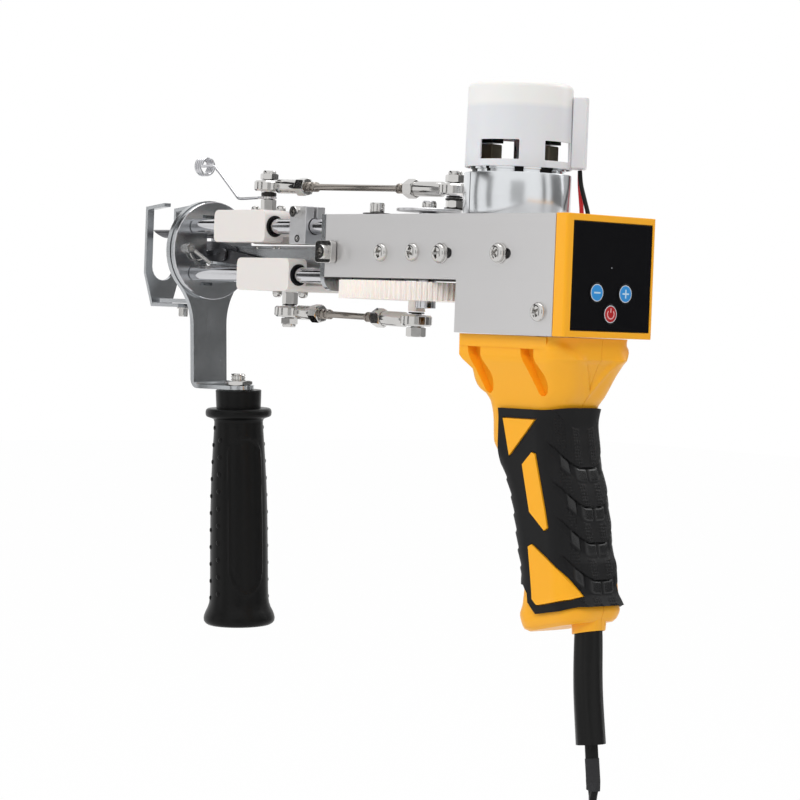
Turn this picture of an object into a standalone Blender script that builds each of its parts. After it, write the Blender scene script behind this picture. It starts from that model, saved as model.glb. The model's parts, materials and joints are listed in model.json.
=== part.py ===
"""Handheld tufting machine, modelled piece by piece in metres, +Z up.

The origin is the middle of the pistol grip, where the hand holds the machine. The needle points along -X,
the switch panel faces +X, and -Y is the side with the adjusting slots in view. A motor over the rear of the
chassis turns a large spur gear. The gear's shaft carries a crank above the chassis and a crank pin below the
gear, and each crank drives a block along two guide rods: the upper one carries the hollow needle, the lower
one swings the scissor blade through a cam slot.
"""

import math

import bmesh
import bpy
from mathutils import Matrix, Vector

for old in list(bpy.data.objects):
    bpy.data.objects.remove(old, do_unlink=True)

# Gaps between pieces that touch, and how far a cutter runs past what it cuts
SEAT = 0.0003
RUN = 0.0004
OVERRUN = 0.004

# Chassis
HAND_TO_CHASSIS = 0.066
HAND_TO_REAR = 0.021
CHASSIS_LENGTH = 0.1615
CHASSIS_WIDTH = 0.054
REAR_HEIGHT = 0.0552
REAR_LENGTH = 0.065
FRONT_HEIGHT = 0.0307
SHEET = 0.002
DECK_THICKNESS = 0.003
FRONT_PLATE_THICKNESS = 0.003
FRONT_PLATE_MARGIN = 0.0077
FRONT_PLATE_CORNER = 0.007

REAR_X = HAND_TO_REAR
FRONT_X = REAR_X - CHASSIS_LENGTH
STEP_X = REAR_X - REAR_LENGTH
BASE_Z = HAND_TO_CHASSIS
TOP_Z = BASE_Z + REAR_HEIGHT
SHALLOW_Z = TOP_Z - FRONT_HEIGHT
HALF_WIDTH = CHASSIS_WIDTH / 2
INNER_HALF = HALF_WIDTH - SHEET - SEAT

# Gear train: one pair of spur gears
GEAR_MODULE = 0.0008
GEAR_TEETH = 104
PINION_TEETH = 50
GEAR_FACE = 0.0088
TOOTH_BACKLASH = 0.00012
SHAFT_SETBACK = 0.116
GEAR_TO_SHALLOW = 0.0014
SHAFT_X = REAR_X - SHAFT_SETBACK
PITCH_RADIUS = GEAR_MODULE * GEAR_TEETH / 2
PINION_PITCH_RADIUS = GEAR_MODULE * PINION_TEETH / 2
MOTOR_X = SHAFT_X + PITCH_RADIUS + PINION_PITCH_RADIUS
GEAR_TOP_Z = SHALLOW_Z - GEAR_TO_SHALLOW
GEAR_BASE_Z = GEAR_TOP_Z - GEAR_FACE

# Cranks on the main shaft, as they stand at rest
SHAFT_RADIUS = 0.005
UPPER_CRANK = 0.012
UPPER_CRANK_DEG = 49.0
LOWER_CRANK = 0.008
LOWER_CRANK_DEG = 171.0

# Guide rods and the round head that they end in
ROD_RADIUS = 0.004
ROD_SPACING = 0.0246
ROD_REACH = 0.1235
HEAD_BELOW_TOP = 0.0175
DISC_RADIUS = 0.026
DISC_THICKNESS = 0.003
ROD_OFFSET = ROD_SPACING / 2
HEAD_Z = TOP_Z - HEAD_BELOW_TOP
ROD_STOP_X = FRONT_X - SEAT - FRONT_PLATE_THICKNESS
DISC_X = ROD_STOP_X - ROD_REACH

# Sliding blocks, placed by the distance of their wrist bolts from the front of the chassis
BLOCK_LENGTH = 0.043
BLOCK_CHEEK = 0.0064
BLOCK_HEIGHT = 0.0166
BLOCK_EDGE = 0.0028
BLOCK_BORE_GAP = 0.0004
UPPER_WRIST_REACH = 0.0808
LOWER_WRIST_REACH = 0.0600
BLOCK_WIDTH = ROD_SPACING + 2 * BLOCK_CHEEK
UPPER_WRIST_X = FRONT_X - UPPER_WRIST_REACH
LOWER_WRIST_X = FRONT_X - LOWER_WRIST_REACH

# Ball-jointed connecting rods
EYE_RADIUS = 0.0078
EYE_HEIGHT = 0.006
EYE_BORE = 0.003
WRIST_BOLT_RADIUS = 0.0026
BARREL_RADIUS = 0.0037
BARREL_LENGTH = 0.017
LINK_RADIUS = 0.0025
LINK_WAIST = 0.0016
NUT_HALF_FLATS = 0.0042

# Needle height over the middle of the head
NEEDLE_RISE = 0.0089
NEEDLE_RADIUS = 0.0023
NEEDLE_BORE = 0.0015

# Hand lever bracket, which turns round the head and hangs a little off the machine's own upright
BRACKET_THICKNESS = 0.003
BRACKET_HANG_DEG = 2.8

ROUND = 32
SMALL_ROUND = 16


def finish(name, colour, roughness, metallic=0.0):
    """A Principled material of one colour."""
    made = bpy.data.materials.new(name)
    made.use_nodes = True
    shader = made.node_tree.nodes["Principled BSDF"]
    shader.inputs["Base Color"].default_value = (*colour, 1.0)
    shader.inputs["Roughness"].default_value = roughness
    shader.inputs["Metallic"].default_value = metallic
    made.diffuse_color = (*colour, 1.0)
    return made


ZINC_SHEET = finish("zinc_sheet", (0.55, 0.55, 0.56), 0.45, 0.8)
PLATED_STEEL = finish("plated_steel", (0.62, 0.64, 0.66), 0.28, 1.0)
POLISHED_ROD = finish("polished_rod", (0.72, 0.72, 0.74), 0.12, 1.0)
BRIGHT_NUT = finish("bright_nut", (0.70, 0.69, 0.67), 0.22, 1.0)
ALUMINIUM = finish("aluminium", (0.72, 0.72, 0.73), 0.4, 1.0)
BLADE_STEEL = finish("blade_steel", (0.20, 0.20, 0.21), 0.35, 1.0)
WHITE_SLIDER = finish("white_slider", (0.86, 0.84, 0.82), 0.4)
WHITE_GEAR = finish("white_gear", (0.86, 0.83, 0.79), 0.45)
WHITE_COVER = finish("white_cover", (0.84, 0.85, 0.87), 0.35)
YELLOW_SHELL = finish("yellow_shell", (0.95, 0.50, 0.03), 0.35)
BLACK_RUBBER = finish("black_rubber", (0.02, 0.02, 0.022), 0.7)
BLACK_PLASTIC = finish("black_plastic", (0.02, 0.02, 0.021), 0.4)
BLACK_PANEL = finish("black_panel", (0.012, 0.012, 0.013), 0.25)
BLUE_BUTTON = finish("blue_button", (0.09, 0.38, 0.72), 0.35)
RED_BUTTON = finish("red_button", (0.55, 0.02, 0.03), 0.35)
RED_LEAD = finish("red_lead", (0.65, 0.02, 0.03), 0.45)
GREEN_BOARD = finish("green_board", (0.03, 0.20, 0.08), 0.5)


def solid(name, mesh, colour, smooth=True):
    """An object from a bmesh, its faces turned outwards."""
    bmesh.ops.recalc_face_normals(mesh, faces=mesh.faces)
    data = bpy.data.meshes.new(name)
    mesh.to_mesh(data)
    mesh.free()
    if smooth:
        data.shade_smooth()
        data.set_sharp_from_angle(angle=math.radians(35))
    data.materials.append(colour)
    made = bpy.data.objects.new(name, data)
    bpy.context.scene.collection.objects.link(made)
    return made


def along(axis, u, v, w):
    """The point at u, v across an axis and w along it."""
    if axis == "X":
        return Vector((w, u, v))
    if axis == "Y":
        return Vector((u, w, v))
    return Vector((u, v, w))


def prism(name, outline, axis, low, high, colour, smooth=True):
    """A flat outline carried along an axis from low to high."""
    mesh = bmesh.new()
    rings = [[mesh.verts.new(along(axis, u, v, w)) for u, v in outline] for w in (low, high)]
    count = len(outline)
    for i in range(count):
        j = (i + 1) % count
        mesh.faces.new((rings[0][i], rings[0][j], rings[1][j], rings[1][i]))
    for ring in rings:
        mesh.faces.new(ring)
    return solid(name, mesh, colour, smooth)


def block(name, x, y, z, colour):
    """A box between two values on each axis."""
    outline = [(x[0], y[0]), (x[1], y[0]), (x[1], y[1]), (x[0], y[1])]
    return prism(name, outline, "Z", z[0], z[1], colour, smooth=False)


def turned(name, profile, axis, centre, colour, steps=ROUND, closed=False, turn=0.0):
    """A shape turned round an axis. The profile holds (radius, place along the axis, sides), where sides is
    0 for round and 6 for a hexagon whose radius is half its width across the flats."""
    mesh = bmesh.new()
    rings = []
    for radius, place, sides in profile:
        if radius == 0:
            rings.append([mesh.verts.new(along(axis, centre[0], centre[1], place))])
            continue
        ring = []
        for i in range(steps):
            angle = 2 * math.pi * i / steps
            reach = radius
            if sides:
                wedge = math.pi / sides
                reach = radius / math.cos((angle % (2 * wedge)) - wedge)
            u = centre[0] + reach * math.cos(angle + turn)
            v = centre[1] + reach * math.sin(angle + turn)
            ring.append(mesh.verts.new(along(axis, u, v, place)))
        rings.append(ring)
    pairs = list(zip(rings, rings[1:]))
    if closed:
        pairs.append((rings[-1], rings[0]))
    for first, second in pairs:
        for i in range(steps):
            j = (i + 1) % steps
            if len(first) == 1:
                mesh.faces.new((first[0], second[j], second[i]))
            elif len(second) == 1:
                mesh.faces.new((first[i], first[j], second[0]))
            else:
                mesh.faces.new((first[i], first[j], second[j], second[i]))
    if not closed:
        for ring in (rings[0], rings[-1]):
            if len(ring) > 1:
                mesh.faces.new(ring)
    return solid(name, mesh, colour)


def cylinder(name, axis, centre, radius, low, high, colour, steps=ROUND):
    return turned(name, [(radius, low, 0), (radius, high, 0)], axis, centre, colour, steps)


def loft(name, rings, colour):
    """A skin over rings of points with equal counts, closed with a face at each end."""
    mesh = bmesh.new()
    made = [[mesh.verts.new(point) for point in ring] for ring in rings]
    count = len(made[0])
    for first, second in zip(made, made[1:]):
        for i in range(count):
            j = (i + 1) % count
            mesh.faces.new((first[i], first[j], second[j], second[i]))
    mesh.faces.new(made[0])
    mesh.faces.new(made[-1])
    return solid(name, mesh, colour)


def wire(name, points, radius, colour, resolution=1):
    """A round wire or cord along points, with closed ends."""
    curve = bpy.data.curves.new(name, "CURVE")
    curve.dimensions = "3D"
    curve.bevel_depth = radius
    curve.bevel_resolution = resolution
    curve.use_fill_caps = True
    spline = curve.splines.new("POLY")
    spline.points.add(len(points) - 1)
    for knot, point in zip(spline.points, points):
        knot.co = (*point, 1.0)
    curve.materials.append(colour)
    made = bpy.data.objects.new(name, curve)
    bpy.context.scene.collection.objects.link(made)
    return made


def combine(target, tool, operation):
    """Cuts the tool from the target, or joins it on. The tool itself is left out of the model."""
    tool.hide_render = True
    tool.display_type = "WIRE"
    change = target.modifiers.new(tool.name, "BOOLEAN")
    change.operation = operation
    change.object = tool
    change.solver = "EXACT"


def cut(target, *tools):
    for tool in tools:
        combine(target, tool, "DIFFERENCE")


def join(target, *tools):
    for tool in tools:
        combine(target, tool, "UNION")


def arc(centre, radius, start_deg, end_deg, steps):
    """Points on an arc, both ends included."""
    points = []
    for i in range(steps + 1):
        angle = math.radians(start_deg + (end_deg - start_deg) * i / steps)
        points.append((centre[0] + radius * math.cos(angle), centre[1] + radius * math.sin(angle)))
    return points


def rounded_box(u, v, radii, steps=4):
    """A rectangle's outline with its own radius at each corner: low-low, high-low, high-high, low-high."""
    centres = [
        (u[0] + radii[0], v[0] + radii[0]),
        (u[1] - radii[1], v[0] + radii[1]),
        (u[1] - radii[2], v[1] - radii[2]),
        (u[0] + radii[3], v[1] - radii[3]),
    ]
    points = []
    for i, (centre, radius) in enumerate(zip(centres, radii)):
        start = 180 + 90 * i
        points += arc(centre, radius, start, start + 90, steps) if radius else [centre]
    return points


def slot_outline(centre, length, height, steps=6):
    """A lying slot with round ends."""
    reach = length / 2 - height / 2
    right = arc((centre[0] + reach, centre[1]), height / 2, -90, 90, steps)
    left = arc((centre[0] - reach, centre[1]), height / 2, 90, 270, steps)
    return right + left


# Chassis plates
SLOT_LENGTH = 0.0130
SLOT_HEIGHT = 0.0048
SLOT_BELOW_TOP = 0.0184
FRONT_SLOT_SETBACK = 0.0750
REAR_SLOT_SETBACK = 0.0350
MOTOR_NOSE_RADIUS = 0.0085
LEAD_AZIMUTH_DEG = 45.0
LEAD_RING = 0.0305
LEAD_RADIUS = 0.0011
LEAD_SPACING = 0.0026


def lead_place(side):
    """Where a motor lead stands behind the motor, one on each side of the cover box's middle line."""
    angle = math.radians(LEAD_AZIMUTH_DEG)
    across = side * LEAD_SPACING / 2
    x = MOTOR_X + LEAD_RING * math.cos(angle) - across * math.sin(angle)
    y = LEAD_RING * math.sin(angle) + across * math.cos(angle)
    return x, y


def build_side_plates():
    """The two flat plates: shallow over the gear, deep at the rear, with the motor's adjusting slots."""
    outline = [
        (FRONT_X, TOP_Z),
        (FRONT_X, SHALLOW_Z),
        (STEP_X, SHALLOW_Z),
        (STEP_X, BASE_Z),
        (REAR_X, BASE_Z),
        (REAR_X, TOP_Z),
    ]
    for side, name in ((-1, "side_plate_left"), (1, "side_plate_right")):
        faces = sorted((side * HALF_WIDTH, side * (HALF_WIDTH - SHEET)))
        plate = prism(name, outline, "Y", faces[0], faces[1], ZINC_SHEET, smooth=False)
        for place, setback in (("front", FRONT_SLOT_SETBACK), ("rear", REAR_SLOT_SETBACK)):
            centre = (REAR_X - setback, TOP_Z - SLOT_BELOW_TOP)
            shape = slot_outline(centre, SLOT_LENGTH, SLOT_HEIGHT)
            low, high = faces[0] - OVERRUN, faces[1] + OVERRUN
            cut(plate, prism(f"{name}_{place}_slot", shape, "Y", low, high, ZINC_SHEET))


def build_deck():
    """The top plate between the side plates, with holes for the shaft, the motor's nose and the two leads."""
    base = TOP_Z - DECK_THICKNESS
    plate = block("deck_plate", (FRONT_X, REAR_X), (-INNER_HALF, INNER_HALF), (base, TOP_Z), ZINC_SHEET)
    low, high = base - OVERRUN, TOP_Z + OVERRUN
    cut(plate, cylinder("deck_shaft_hole", "Z", (SHAFT_X, 0), SHAFT_RADIUS + RUN, low, high, ZINC_SHEET))
    cut(plate, cylinder("deck_nose_hole", "Z", (MOTOR_X, 0), MOTOR_NOSE_RADIUS + SEAT, low, high, ZINC_SHEET))


def build_front_plate():
    """The end plate that the four guide rods pass through. Its lower corners are round."""
    low_z = HEAD_Z - ROD_OFFSET - FRONT_PLATE_MARGIN
    corner = FRONT_PLATE_CORNER
    outline = rounded_box((-HALF_WIDTH, HALF_WIDTH), (low_z, TOP_Z), (corner, corner, 0, 0))
    front, rear = ROD_STOP_X, FRONT_X - SEAT
    plate = prism("front_plate", outline, "X", front, rear, PLATED_STEEL)
    for i, (y, z) in enumerate(rod_places()):
        hole = cylinder(
            f"rod_hole_{i}", "X", (y, z), ROD_RADIUS + SEAT, front - OVERRUN, rear + OVERRUN, PLATED_STEEL,
            SMALL_ROUND,
        )
        cut(plate, hole)


def rod_places():
    """Y and Z of the four guide rods: upper left, upper right, lower left, lower right."""
    return [(y * ROD_OFFSET, HEAD_Z + z * ROD_OFFSET) for z in (1, -1) for y in (-1, 1)]


SHAFT_BLOCK_FRONT = 0.127
SHAFT_BLOCK_REAR = 0.090
MOTOR_BLOCK_FRONT = 0.084
MOTOR_BLOCK_REAR = 0.030
BLOCKS_BELOW_TOP = 0.0134
BLOCKS_HEIGHT = 0.010


def build_inner_blocks():
    """Two aluminium blocks between the side plates: one carries the main shaft, one the motor."""
    top = TOP_Z - BLOCKS_BELOW_TOP
    base = top - BLOCKS_HEIGHT
    width = (-INNER_HALF, INNER_HALF)
    shaft_span = (REAR_X - SHAFT_BLOCK_FRONT, REAR_X - SHAFT_BLOCK_REAR)
    carrier = block("shaft_block", shaft_span, width, (base, top), ALUMINIUM)
    low, high = base - OVERRUN, TOP_Z + OVERRUN
    cut(carrier, cylinder("shaft_bore", "Z", (SHAFT_X, 0), SHAFT_RADIUS + RUN, low, high, ALUMINIUM))
    motor_span = (REAR_X - MOTOR_BLOCK_FRONT, REAR_X - MOTOR_BLOCK_REAR)
    seat_top = TOP_Z - DECK_THICKNESS - SEAT
    carrier = block("motor_block", motor_span, width, (base, seat_top), ALUMINIUM)
    cut(carrier, cylinder("nose_bore", "Z", (MOTOR_X, 0), MOTOR_NOSE_RADIUS + SEAT, low, high, ALUMINIUM))


# Rear cover, switch panel and buttons
COVER_DEPTH = 0.009
COVER_CORNER = 0.0045
COVER_WALL = 0.0026
PANEL_THICKNESS = 0.0014
PANEL_FLOOR = 0.002
PANEL_WIDTH = 0.049
PANEL_LENGTH = 0.0486
PANEL_OFFSET_Y = 0.0005
PANEL_BELOW_TOP = 0.0034
PANEL_CORNER = 0.001
BUTTON_RADIUS = 0.0044
BUTTON_PROUD = 0.0007
BUTTON_TRAVEL = 0.0005
BUTTON_STEM = 0.0011
SPEED_BUTTON_SPREAD = 0.0182
SPEED_BUTTON_RISE = 0.0203
POWER_BUTTON_RISE = 0.0109
BUTTONS_OFFSET_Y = 0.0003
BOARD_THICKNESS = 0.0016
PANEL_X = REAR_X + COVER_DEPTH


def button_places():
    """Y and Z of the speed-down, speed-up and power buttons."""
    half = SPEED_BUTTON_SPREAD / 2
    middle = BUTTONS_OFFSET_Y
    return {
        "button_minus": (middle - half, BASE_Z + SPEED_BUTTON_RISE),
        "button_plus": (middle + half, BASE_Z + SPEED_BUTTON_RISE),
        "button_power": (middle, BASE_Z + POWER_BUTTON_RISE),
    }


def panel_span(grow):
    """The panel's Y and Z limits, made larger by grow on each side."""
    y = (PANEL_OFFSET_Y - PANEL_WIDTH / 2 - grow, PANEL_OFFSET_Y + PANEL_WIDTH / 2 + grow)
    top = TOP_Z - PANEL_BELOW_TOP
    return y, (top - PANEL_LENGTH - grow, top + grow)


def build_rear_cover():
    """The moulded cover that closes the rear, its panel, its three buttons and the board behind them."""
    front = REAR_X + SEAT
    corner = COVER_CORNER
    outline = rounded_box((front, PANEL_X), (-HALF_WIDTH, HALF_WIDTH), (0, corner, corner, 0))
    cover = prism("rear_cover", outline, "Z", BASE_Z, TOP_Z, YELLOW_SHELL)
    floor_rear = PANEL_X - PANEL_THICKNESS
    floor_front = floor_rear - PANEL_FLOOR
    inner = HALF_WIDTH - COVER_WALL
    well_z = (BASE_Z + COVER_WALL, TOP_Z - COVER_WALL)
    cut(cover, block("cover_well", (front - OVERRUN, floor_front), (-inner, inner), well_z, YELLOW_SHELL))
    y, z = panel_span(SEAT)
    recess = rounded_box(y, z, (PANEL_CORNER,) * 4, 2)
    cut(cover, prism("panel_recess", recess, "X", floor_rear, PANEL_X + OVERRUN, YELLOW_SHELL))
    y, z = panel_span(0)
    outline = rounded_box(y, z, (PANEL_CORNER,) * 4, 2)
    panel = prism("control_panel", outline, "X", floor_rear + SEAT, PANEL_X, BLACK_PANEL)
    hole_radius = BUTTON_RADIUS + SEAT
    for name, place in button_places().items():
        for target, part in ((cover, "floor"), (panel, "panel")):
            low, high = floor_front - OVERRUN, PANEL_X + OVERRUN
            tool = cylinder(
                f"{name}_{part}_hole", "X", place, hole_radius, low, high, BLACK_PANEL, SMALL_ROUND
            )
            cut(target, tool)
        crown = PANEL_X + BUTTON_PROUD
        foot = floor_front + BUTTON_STEM - PANEL_FLOOR
        colour = RED_BUTTON if name == "button_power" else BLUE_BUTTON
        rim = BUTTON_PROUD / 2
        profile = [(BUTTON_RADIUS, foot, 0), (BUTTON_RADIUS, crown - rim, 0), (BUTTON_RADIUS - rim, crown, 0)]
        turned(name, profile, "X", place, colour, SMALL_ROUND)
    board_rear = floor_front + BUTTON_STEM - PANEL_FLOOR - BUTTON_TRAVEL - SEAT
    inset = inner - SEAT
    board_z = (well_z[0] + SEAT, well_z[1] - SEAT)
    block("circuit_board", (board_rear - BOARD_THICKNESS, board_rear), (-inset, inset), board_z, GREEN_BOARD)


# Motor
CAN_RADIUS = 0.0215
RING_RADIUS = 0.0252
RING_HEIGHT = 0.0192
BELL_RADIUS = 0.0225
BELL_RISE = 0.0212
BELL_TOP = 0.0500
NOSE_LENGTH = 0.0120
MOTOR_SHAFT_RADIUS = 0.003
MOTOR_SHAFT_HOLD = 0.024
COVER_RISE = 0.0236
COVER_TOP = 0.0618
COVER_WALL_OUTER = 0.0244
COVER_TOP_OUTER = 0.0240
COVER_SHELL = 0.0014
COVER_TOP_EDGE = 0.0022
WINDOW_BASE = 0.0262
WINDOW_TOP = 0.0352
WINDOW_COUNT = 5
WINDOW_DEG = 48.0
WINDOW_START_DEG = -67.0
BOX_REACH = 0.0333
BOX_HALF_DEG = 13.0
BOX_BASE = 0.0226
BOX_TOP = 0.0562


def build_motor():
    """The motor can with its end bell, the steel flux ring and the white cap with its four windows."""
    axis = (MOTOR_X, 0)
    foot = TOP_Z + SEAT
    nose = TOP_Z - NOSE_LENGTH
    bore = MOTOR_SHAFT_RADIUS + RUN
    bore_top = nose + MOTOR_SHAFT_HOLD
    bell = TOP_Z + BELL_RISE
    profile = [
        (bore, nose, 0),
        (MOTOR_NOSE_RADIUS, nose, 0),
        (MOTOR_NOSE_RADIUS, foot, 0),
        (CAN_RADIUS, foot, 0),
        (CAN_RADIUS, bell, 0),
        (BELL_RADIUS, bell, 0),
        (BELL_RADIUS, TOP_Z + BELL_TOP, 0),
        (0, TOP_Z + BELL_TOP, 0),
    ]
    profile = [(0, bore_top, 0), (bore, bore_top, 0)] + profile
    turned("motor_can", profile, "Z", axis, BLACK_PLASTIC, ROUND)
    inner = CAN_RADIUS + SEAT
    ring = [
        (inner, foot, 0), (RING_RADIUS, foot, 0), (RING_RADIUS, foot + RING_HEIGHT, 0),
        (inner, foot + RING_HEIGHT, 0),
    ]
    turned("flux_ring", ring, "Z", axis, PLATED_STEEL, ROUND, closed=True)
    base, top = TOP_Z + COVER_RISE, TOP_Z + COVER_TOP
    inside = COVER_WALL_OUTER - COVER_SHELL
    cap = [
        (inside, base, 0),
        (COVER_WALL_OUTER, base, 0),
        (COVER_TOP_OUTER, top - COVER_TOP_EDGE, 0),
        (COVER_TOP_OUTER - COVER_TOP_EDGE, top, 0),
        (0, top, 0),
    ]
    cap = [(0, top - COVER_SHELL, 0), (inside, top - COVER_SHELL, 0)] + cap
    cover = turned("motor_cover", cap, "Z", axis, WHITE_COVER, ROUND)
    for i in range(WINDOW_COUNT):
        middle = WINDOW_START_DEG + 360 * i / WINDOW_COUNT
        half = WINDOW_DEG / 2
        far = COVER_WALL_OUTER + OVERRUN
        near = BELL_RADIUS - OVERRUN
        sector = arc(axis, far, middle - half, middle + half, 4) + arc(
            axis, near, middle + half, middle - half, 4
        )
        low, high = TOP_Z + WINDOW_BASE, TOP_Z + WINDOW_TOP
        cut(cover, prism(f"cover_window_{i}", sector, "Z", low, high, WHITE_COVER))
    near = COVER_WALL_OUTER + SEAT
    start, end = LEAD_AZIMUTH_DEG - BOX_HALF_DEG, LEAD_AZIMUTH_DEG + BOX_HALF_DEG
    sector = arc(axis, BOX_REACH, start, end, 4) + arc(axis, near, end, start, 4)
    prism("wire_cover", sector, "Z", TOP_Z + BOX_BASE, TOP_Z + BOX_TOP, WHITE_COVER)
    for side, name, colour in ((-1, "lead_black", BLACK_RUBBER), (1, "lead_red", RED_LEAD)):
        x, y = lead_place(side)
        ends = [(x, y, TOP_Z + BOX_BASE - SEAT), (x, y, TOP_Z + SEAT)]
        wire(name, ends, LEAD_RADIUS, colour)


# Gears, shafts and cranks
GEAR_WEB = 0.0022
SHAFT_FOOT = 0.0036
SHAFT_HEAD_RADIUS = 0.0033
SHAFT_HEAD_RISE = 0.0076
CRANK_DISC_RADIUS = 0.0159
CRANK_DISC_RISE = 0.0022
CRANK_DISC_THICKNESS = 0.0022
CRANK_BOSS_RADIUS = 0.0040
CRANK_BOSS_RISE = 0.0093
PIN_BOSS_DROP = 0.0052
PIN_BOSS_RADIUS = 0.0042


def gear_outline(teeth, centre, phase, backlash):
    """A spur gear's outline. Each tooth has straight flanks from root to tip through the pitch circle."""
    pitch = GEAR_MODULE * teeth / 2
    tip = pitch + GEAR_MODULE
    root = pitch - 1.25 * GEAR_MODULE
    lean = math.tan(math.radians(20))
    half_pitch_gap = math.pi * GEAR_MODULE / 4 - backlash / 2
    points = []
    for i in range(teeth):
        middle = phase + 2 * math.pi * i / teeth
        for side in (-1, 1):
            rows = [
                (root, half_pitch_gap + lean * (pitch - root)), (tip, half_pitch_gap - lean * GEAR_MODULE)
            ]
            for radius, half in rows if side < 0 else rows[::-1]:
                angle = middle + side * half / radius
                points.append((centre[0] + radius * math.cos(angle), centre[1] + radius * math.sin(angle)))
    return points


def crank_pin(radius, angle_deg):
    angle = math.radians(angle_deg)
    return SHAFT_X + radius * math.cos(angle), radius * math.sin(angle)


def build_drive():
    """The main shaft with its gear and both cranks, and the motor's shaft with the pinion."""
    axis = (SHAFT_X, 0)
    disc_z = TOP_Z + CRANK_DISC_RISE
    disc_top = disc_z + CRANK_DISC_THICKNESS
    profile = [
        (SHAFT_RADIUS, GEAR_BASE_Z - SHAFT_FOOT, 0),
        (SHAFT_RADIUS, disc_z - SEAT, 0),
        (SHAFT_HEAD_RADIUS, disc_z - SEAT, 0),
        (SHAFT_HEAD_RADIUS, TOP_Z + SHAFT_HEAD_RISE, 0),
    ]
    turned("main_shaft", profile, "Z", axis, POLISHED_ROD, SMALL_ROUND)
    gear = prism(
        "drive_gear", gear_outline(GEAR_TEETH, axis, 0, TOOTH_BACKLASH), "Z", GEAR_BASE_Z, GEAR_TOP_Z,
        WHITE_GEAR,
    )
    pin = crank_pin(LOWER_CRANK, LOWER_CRANK_DEG)
    boss = cylinder(
        "lower_pin_boss", "Z", pin, PIN_BOSS_RADIUS, GEAR_BASE_Z - PIN_BOSS_DROP, GEAR_BASE_Z + GEAR_FACE / 2,
        WHITE_GEAR, SMALL_ROUND,
    )
    join(gear, boss)
    bore = SHAFT_RADIUS + SEAT
    cut(
        gear,
        cylinder(
            "gear_bore", "Z", axis, bore, GEAR_BASE_Z - SHAFT_FOOT - OVERRUN, GEAR_TOP_Z + OVERRUN, WHITE_GEAR,
            SMALL_ROUND,
        ),
    )
    crank = cylinder("crank_disc", "Z", axis, CRANK_DISC_RADIUS, disc_z, disc_top, PLATED_STEEL)
    pin = crank_pin(UPPER_CRANK, UPPER_CRANK_DEG)
    boss_top = TOP_Z + CRANK_BOSS_RISE
    boss = cylinder(
        "crank_boss", "Z", pin, CRANK_BOSS_RADIUS, disc_z + CRANK_DISC_THICKNESS / 2, boss_top, PLATED_STEEL,
        SMALL_ROUND,
    )
    join(crank, boss)
    cut(
        crank,
        cylinder(
            "crank_bore", "Z", axis, SHAFT_HEAD_RADIUS + SEAT, disc_z - OVERRUN, disc_top + OVERRUN, PLATED_STEEL,
            SMALL_ROUND,
        ),
    )
    motor_axis = (MOTOR_X, 0)
    phase = math.pi + math.pi / PINION_TEETH
    outline = gear_outline(PINION_TEETH, motor_axis, phase, TOOTH_BACKLASH)
    pinion = prism("drive_pinion", outline, "Z", GEAR_BASE_Z, GEAR_TOP_Z, BRIGHT_NUT)
    bore = MOTOR_SHAFT_RADIUS + SEAT
    low, high = GEAR_BASE_Z - OVERRUN, GEAR_TOP_Z + OVERRUN
    cut(pinion, cylinder("pinion_bore", "Z", motor_axis, bore, low, high, BRIGHT_NUT, SMALL_ROUND))
    top = TOP_Z - NOSE_LENGTH + MOTOR_SHAFT_HOLD - RUN
    cylinder("motor_shaft", "Z", motor_axis, MOTOR_SHAFT_RADIUS, GEAR_BASE_Z, top, POLISHED_ROD, SMALL_ROUND)


# Connecting rods


def rod_geometry(level):
    """The wrist point, the crank pin and the eye heights of the upper or the lower connecting rod."""
    if level == "upper":
        pin = crank_pin(UPPER_CRANK, UPPER_CRANK_DEG)
        upper_z = TOP_Z + CRANK_BOSS_RISE + SEAT + CRANK_SPACER + EYE_HEIGHT / 2
        return (UPPER_WRIST_X, 0.0), pin, upper_eye_z(), upper_z
    pin = crank_pin(LOWER_CRANK, LOWER_CRANK_DEG)
    lower_z = GEAR_BASE_Z - PIN_BOSS_DROP - SEAT - CRANK_SPACER - EYE_HEIGHT / 2
    return (LOWER_WRIST_X, 0.0), pin, lower_eye_z(), lower_z


def upper_eye_z():
    return block_top("upper") + STANDOFF_HEIGHT + NECK_HEIGHT + SPACER_HEIGHT + EYE_HEIGHT / 2


def lower_eye_z():
    return block_base("lower") - STANDOFF_HEIGHT - SPACER_HEIGHT / 2 - EYE_HEIGHT / 2


def block_top(level):
    side = 1 if level == "upper" else -1
    return HEAD_Z + side * ROD_OFFSET + BLOCK_HEIGHT / 2


def block_base(level):
    return block_top(level) - BLOCK_HEIGHT


STANDOFF_HEIGHT = 0.0063
STANDOFF_HALF_FLATS = 0.0040
NECK_HEIGHT = 0.0019
NECK_RADIUS = 0.0026
SPACER_HEIGHT = 0.0020
SPACER_RADIUS = 0.0040
WRIST_NUT_HEIGHT = 0.0050
CRANK_NUT_HEIGHT = 0.0056
CRANK_BOLT_HEAD = 0.0048
CRANK_SPACER = 0.0010
BALL_LIP = 0.0008
LINK_NUT_LENGTH = 0.0060
LINK_THREAD = 0.0080


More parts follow.
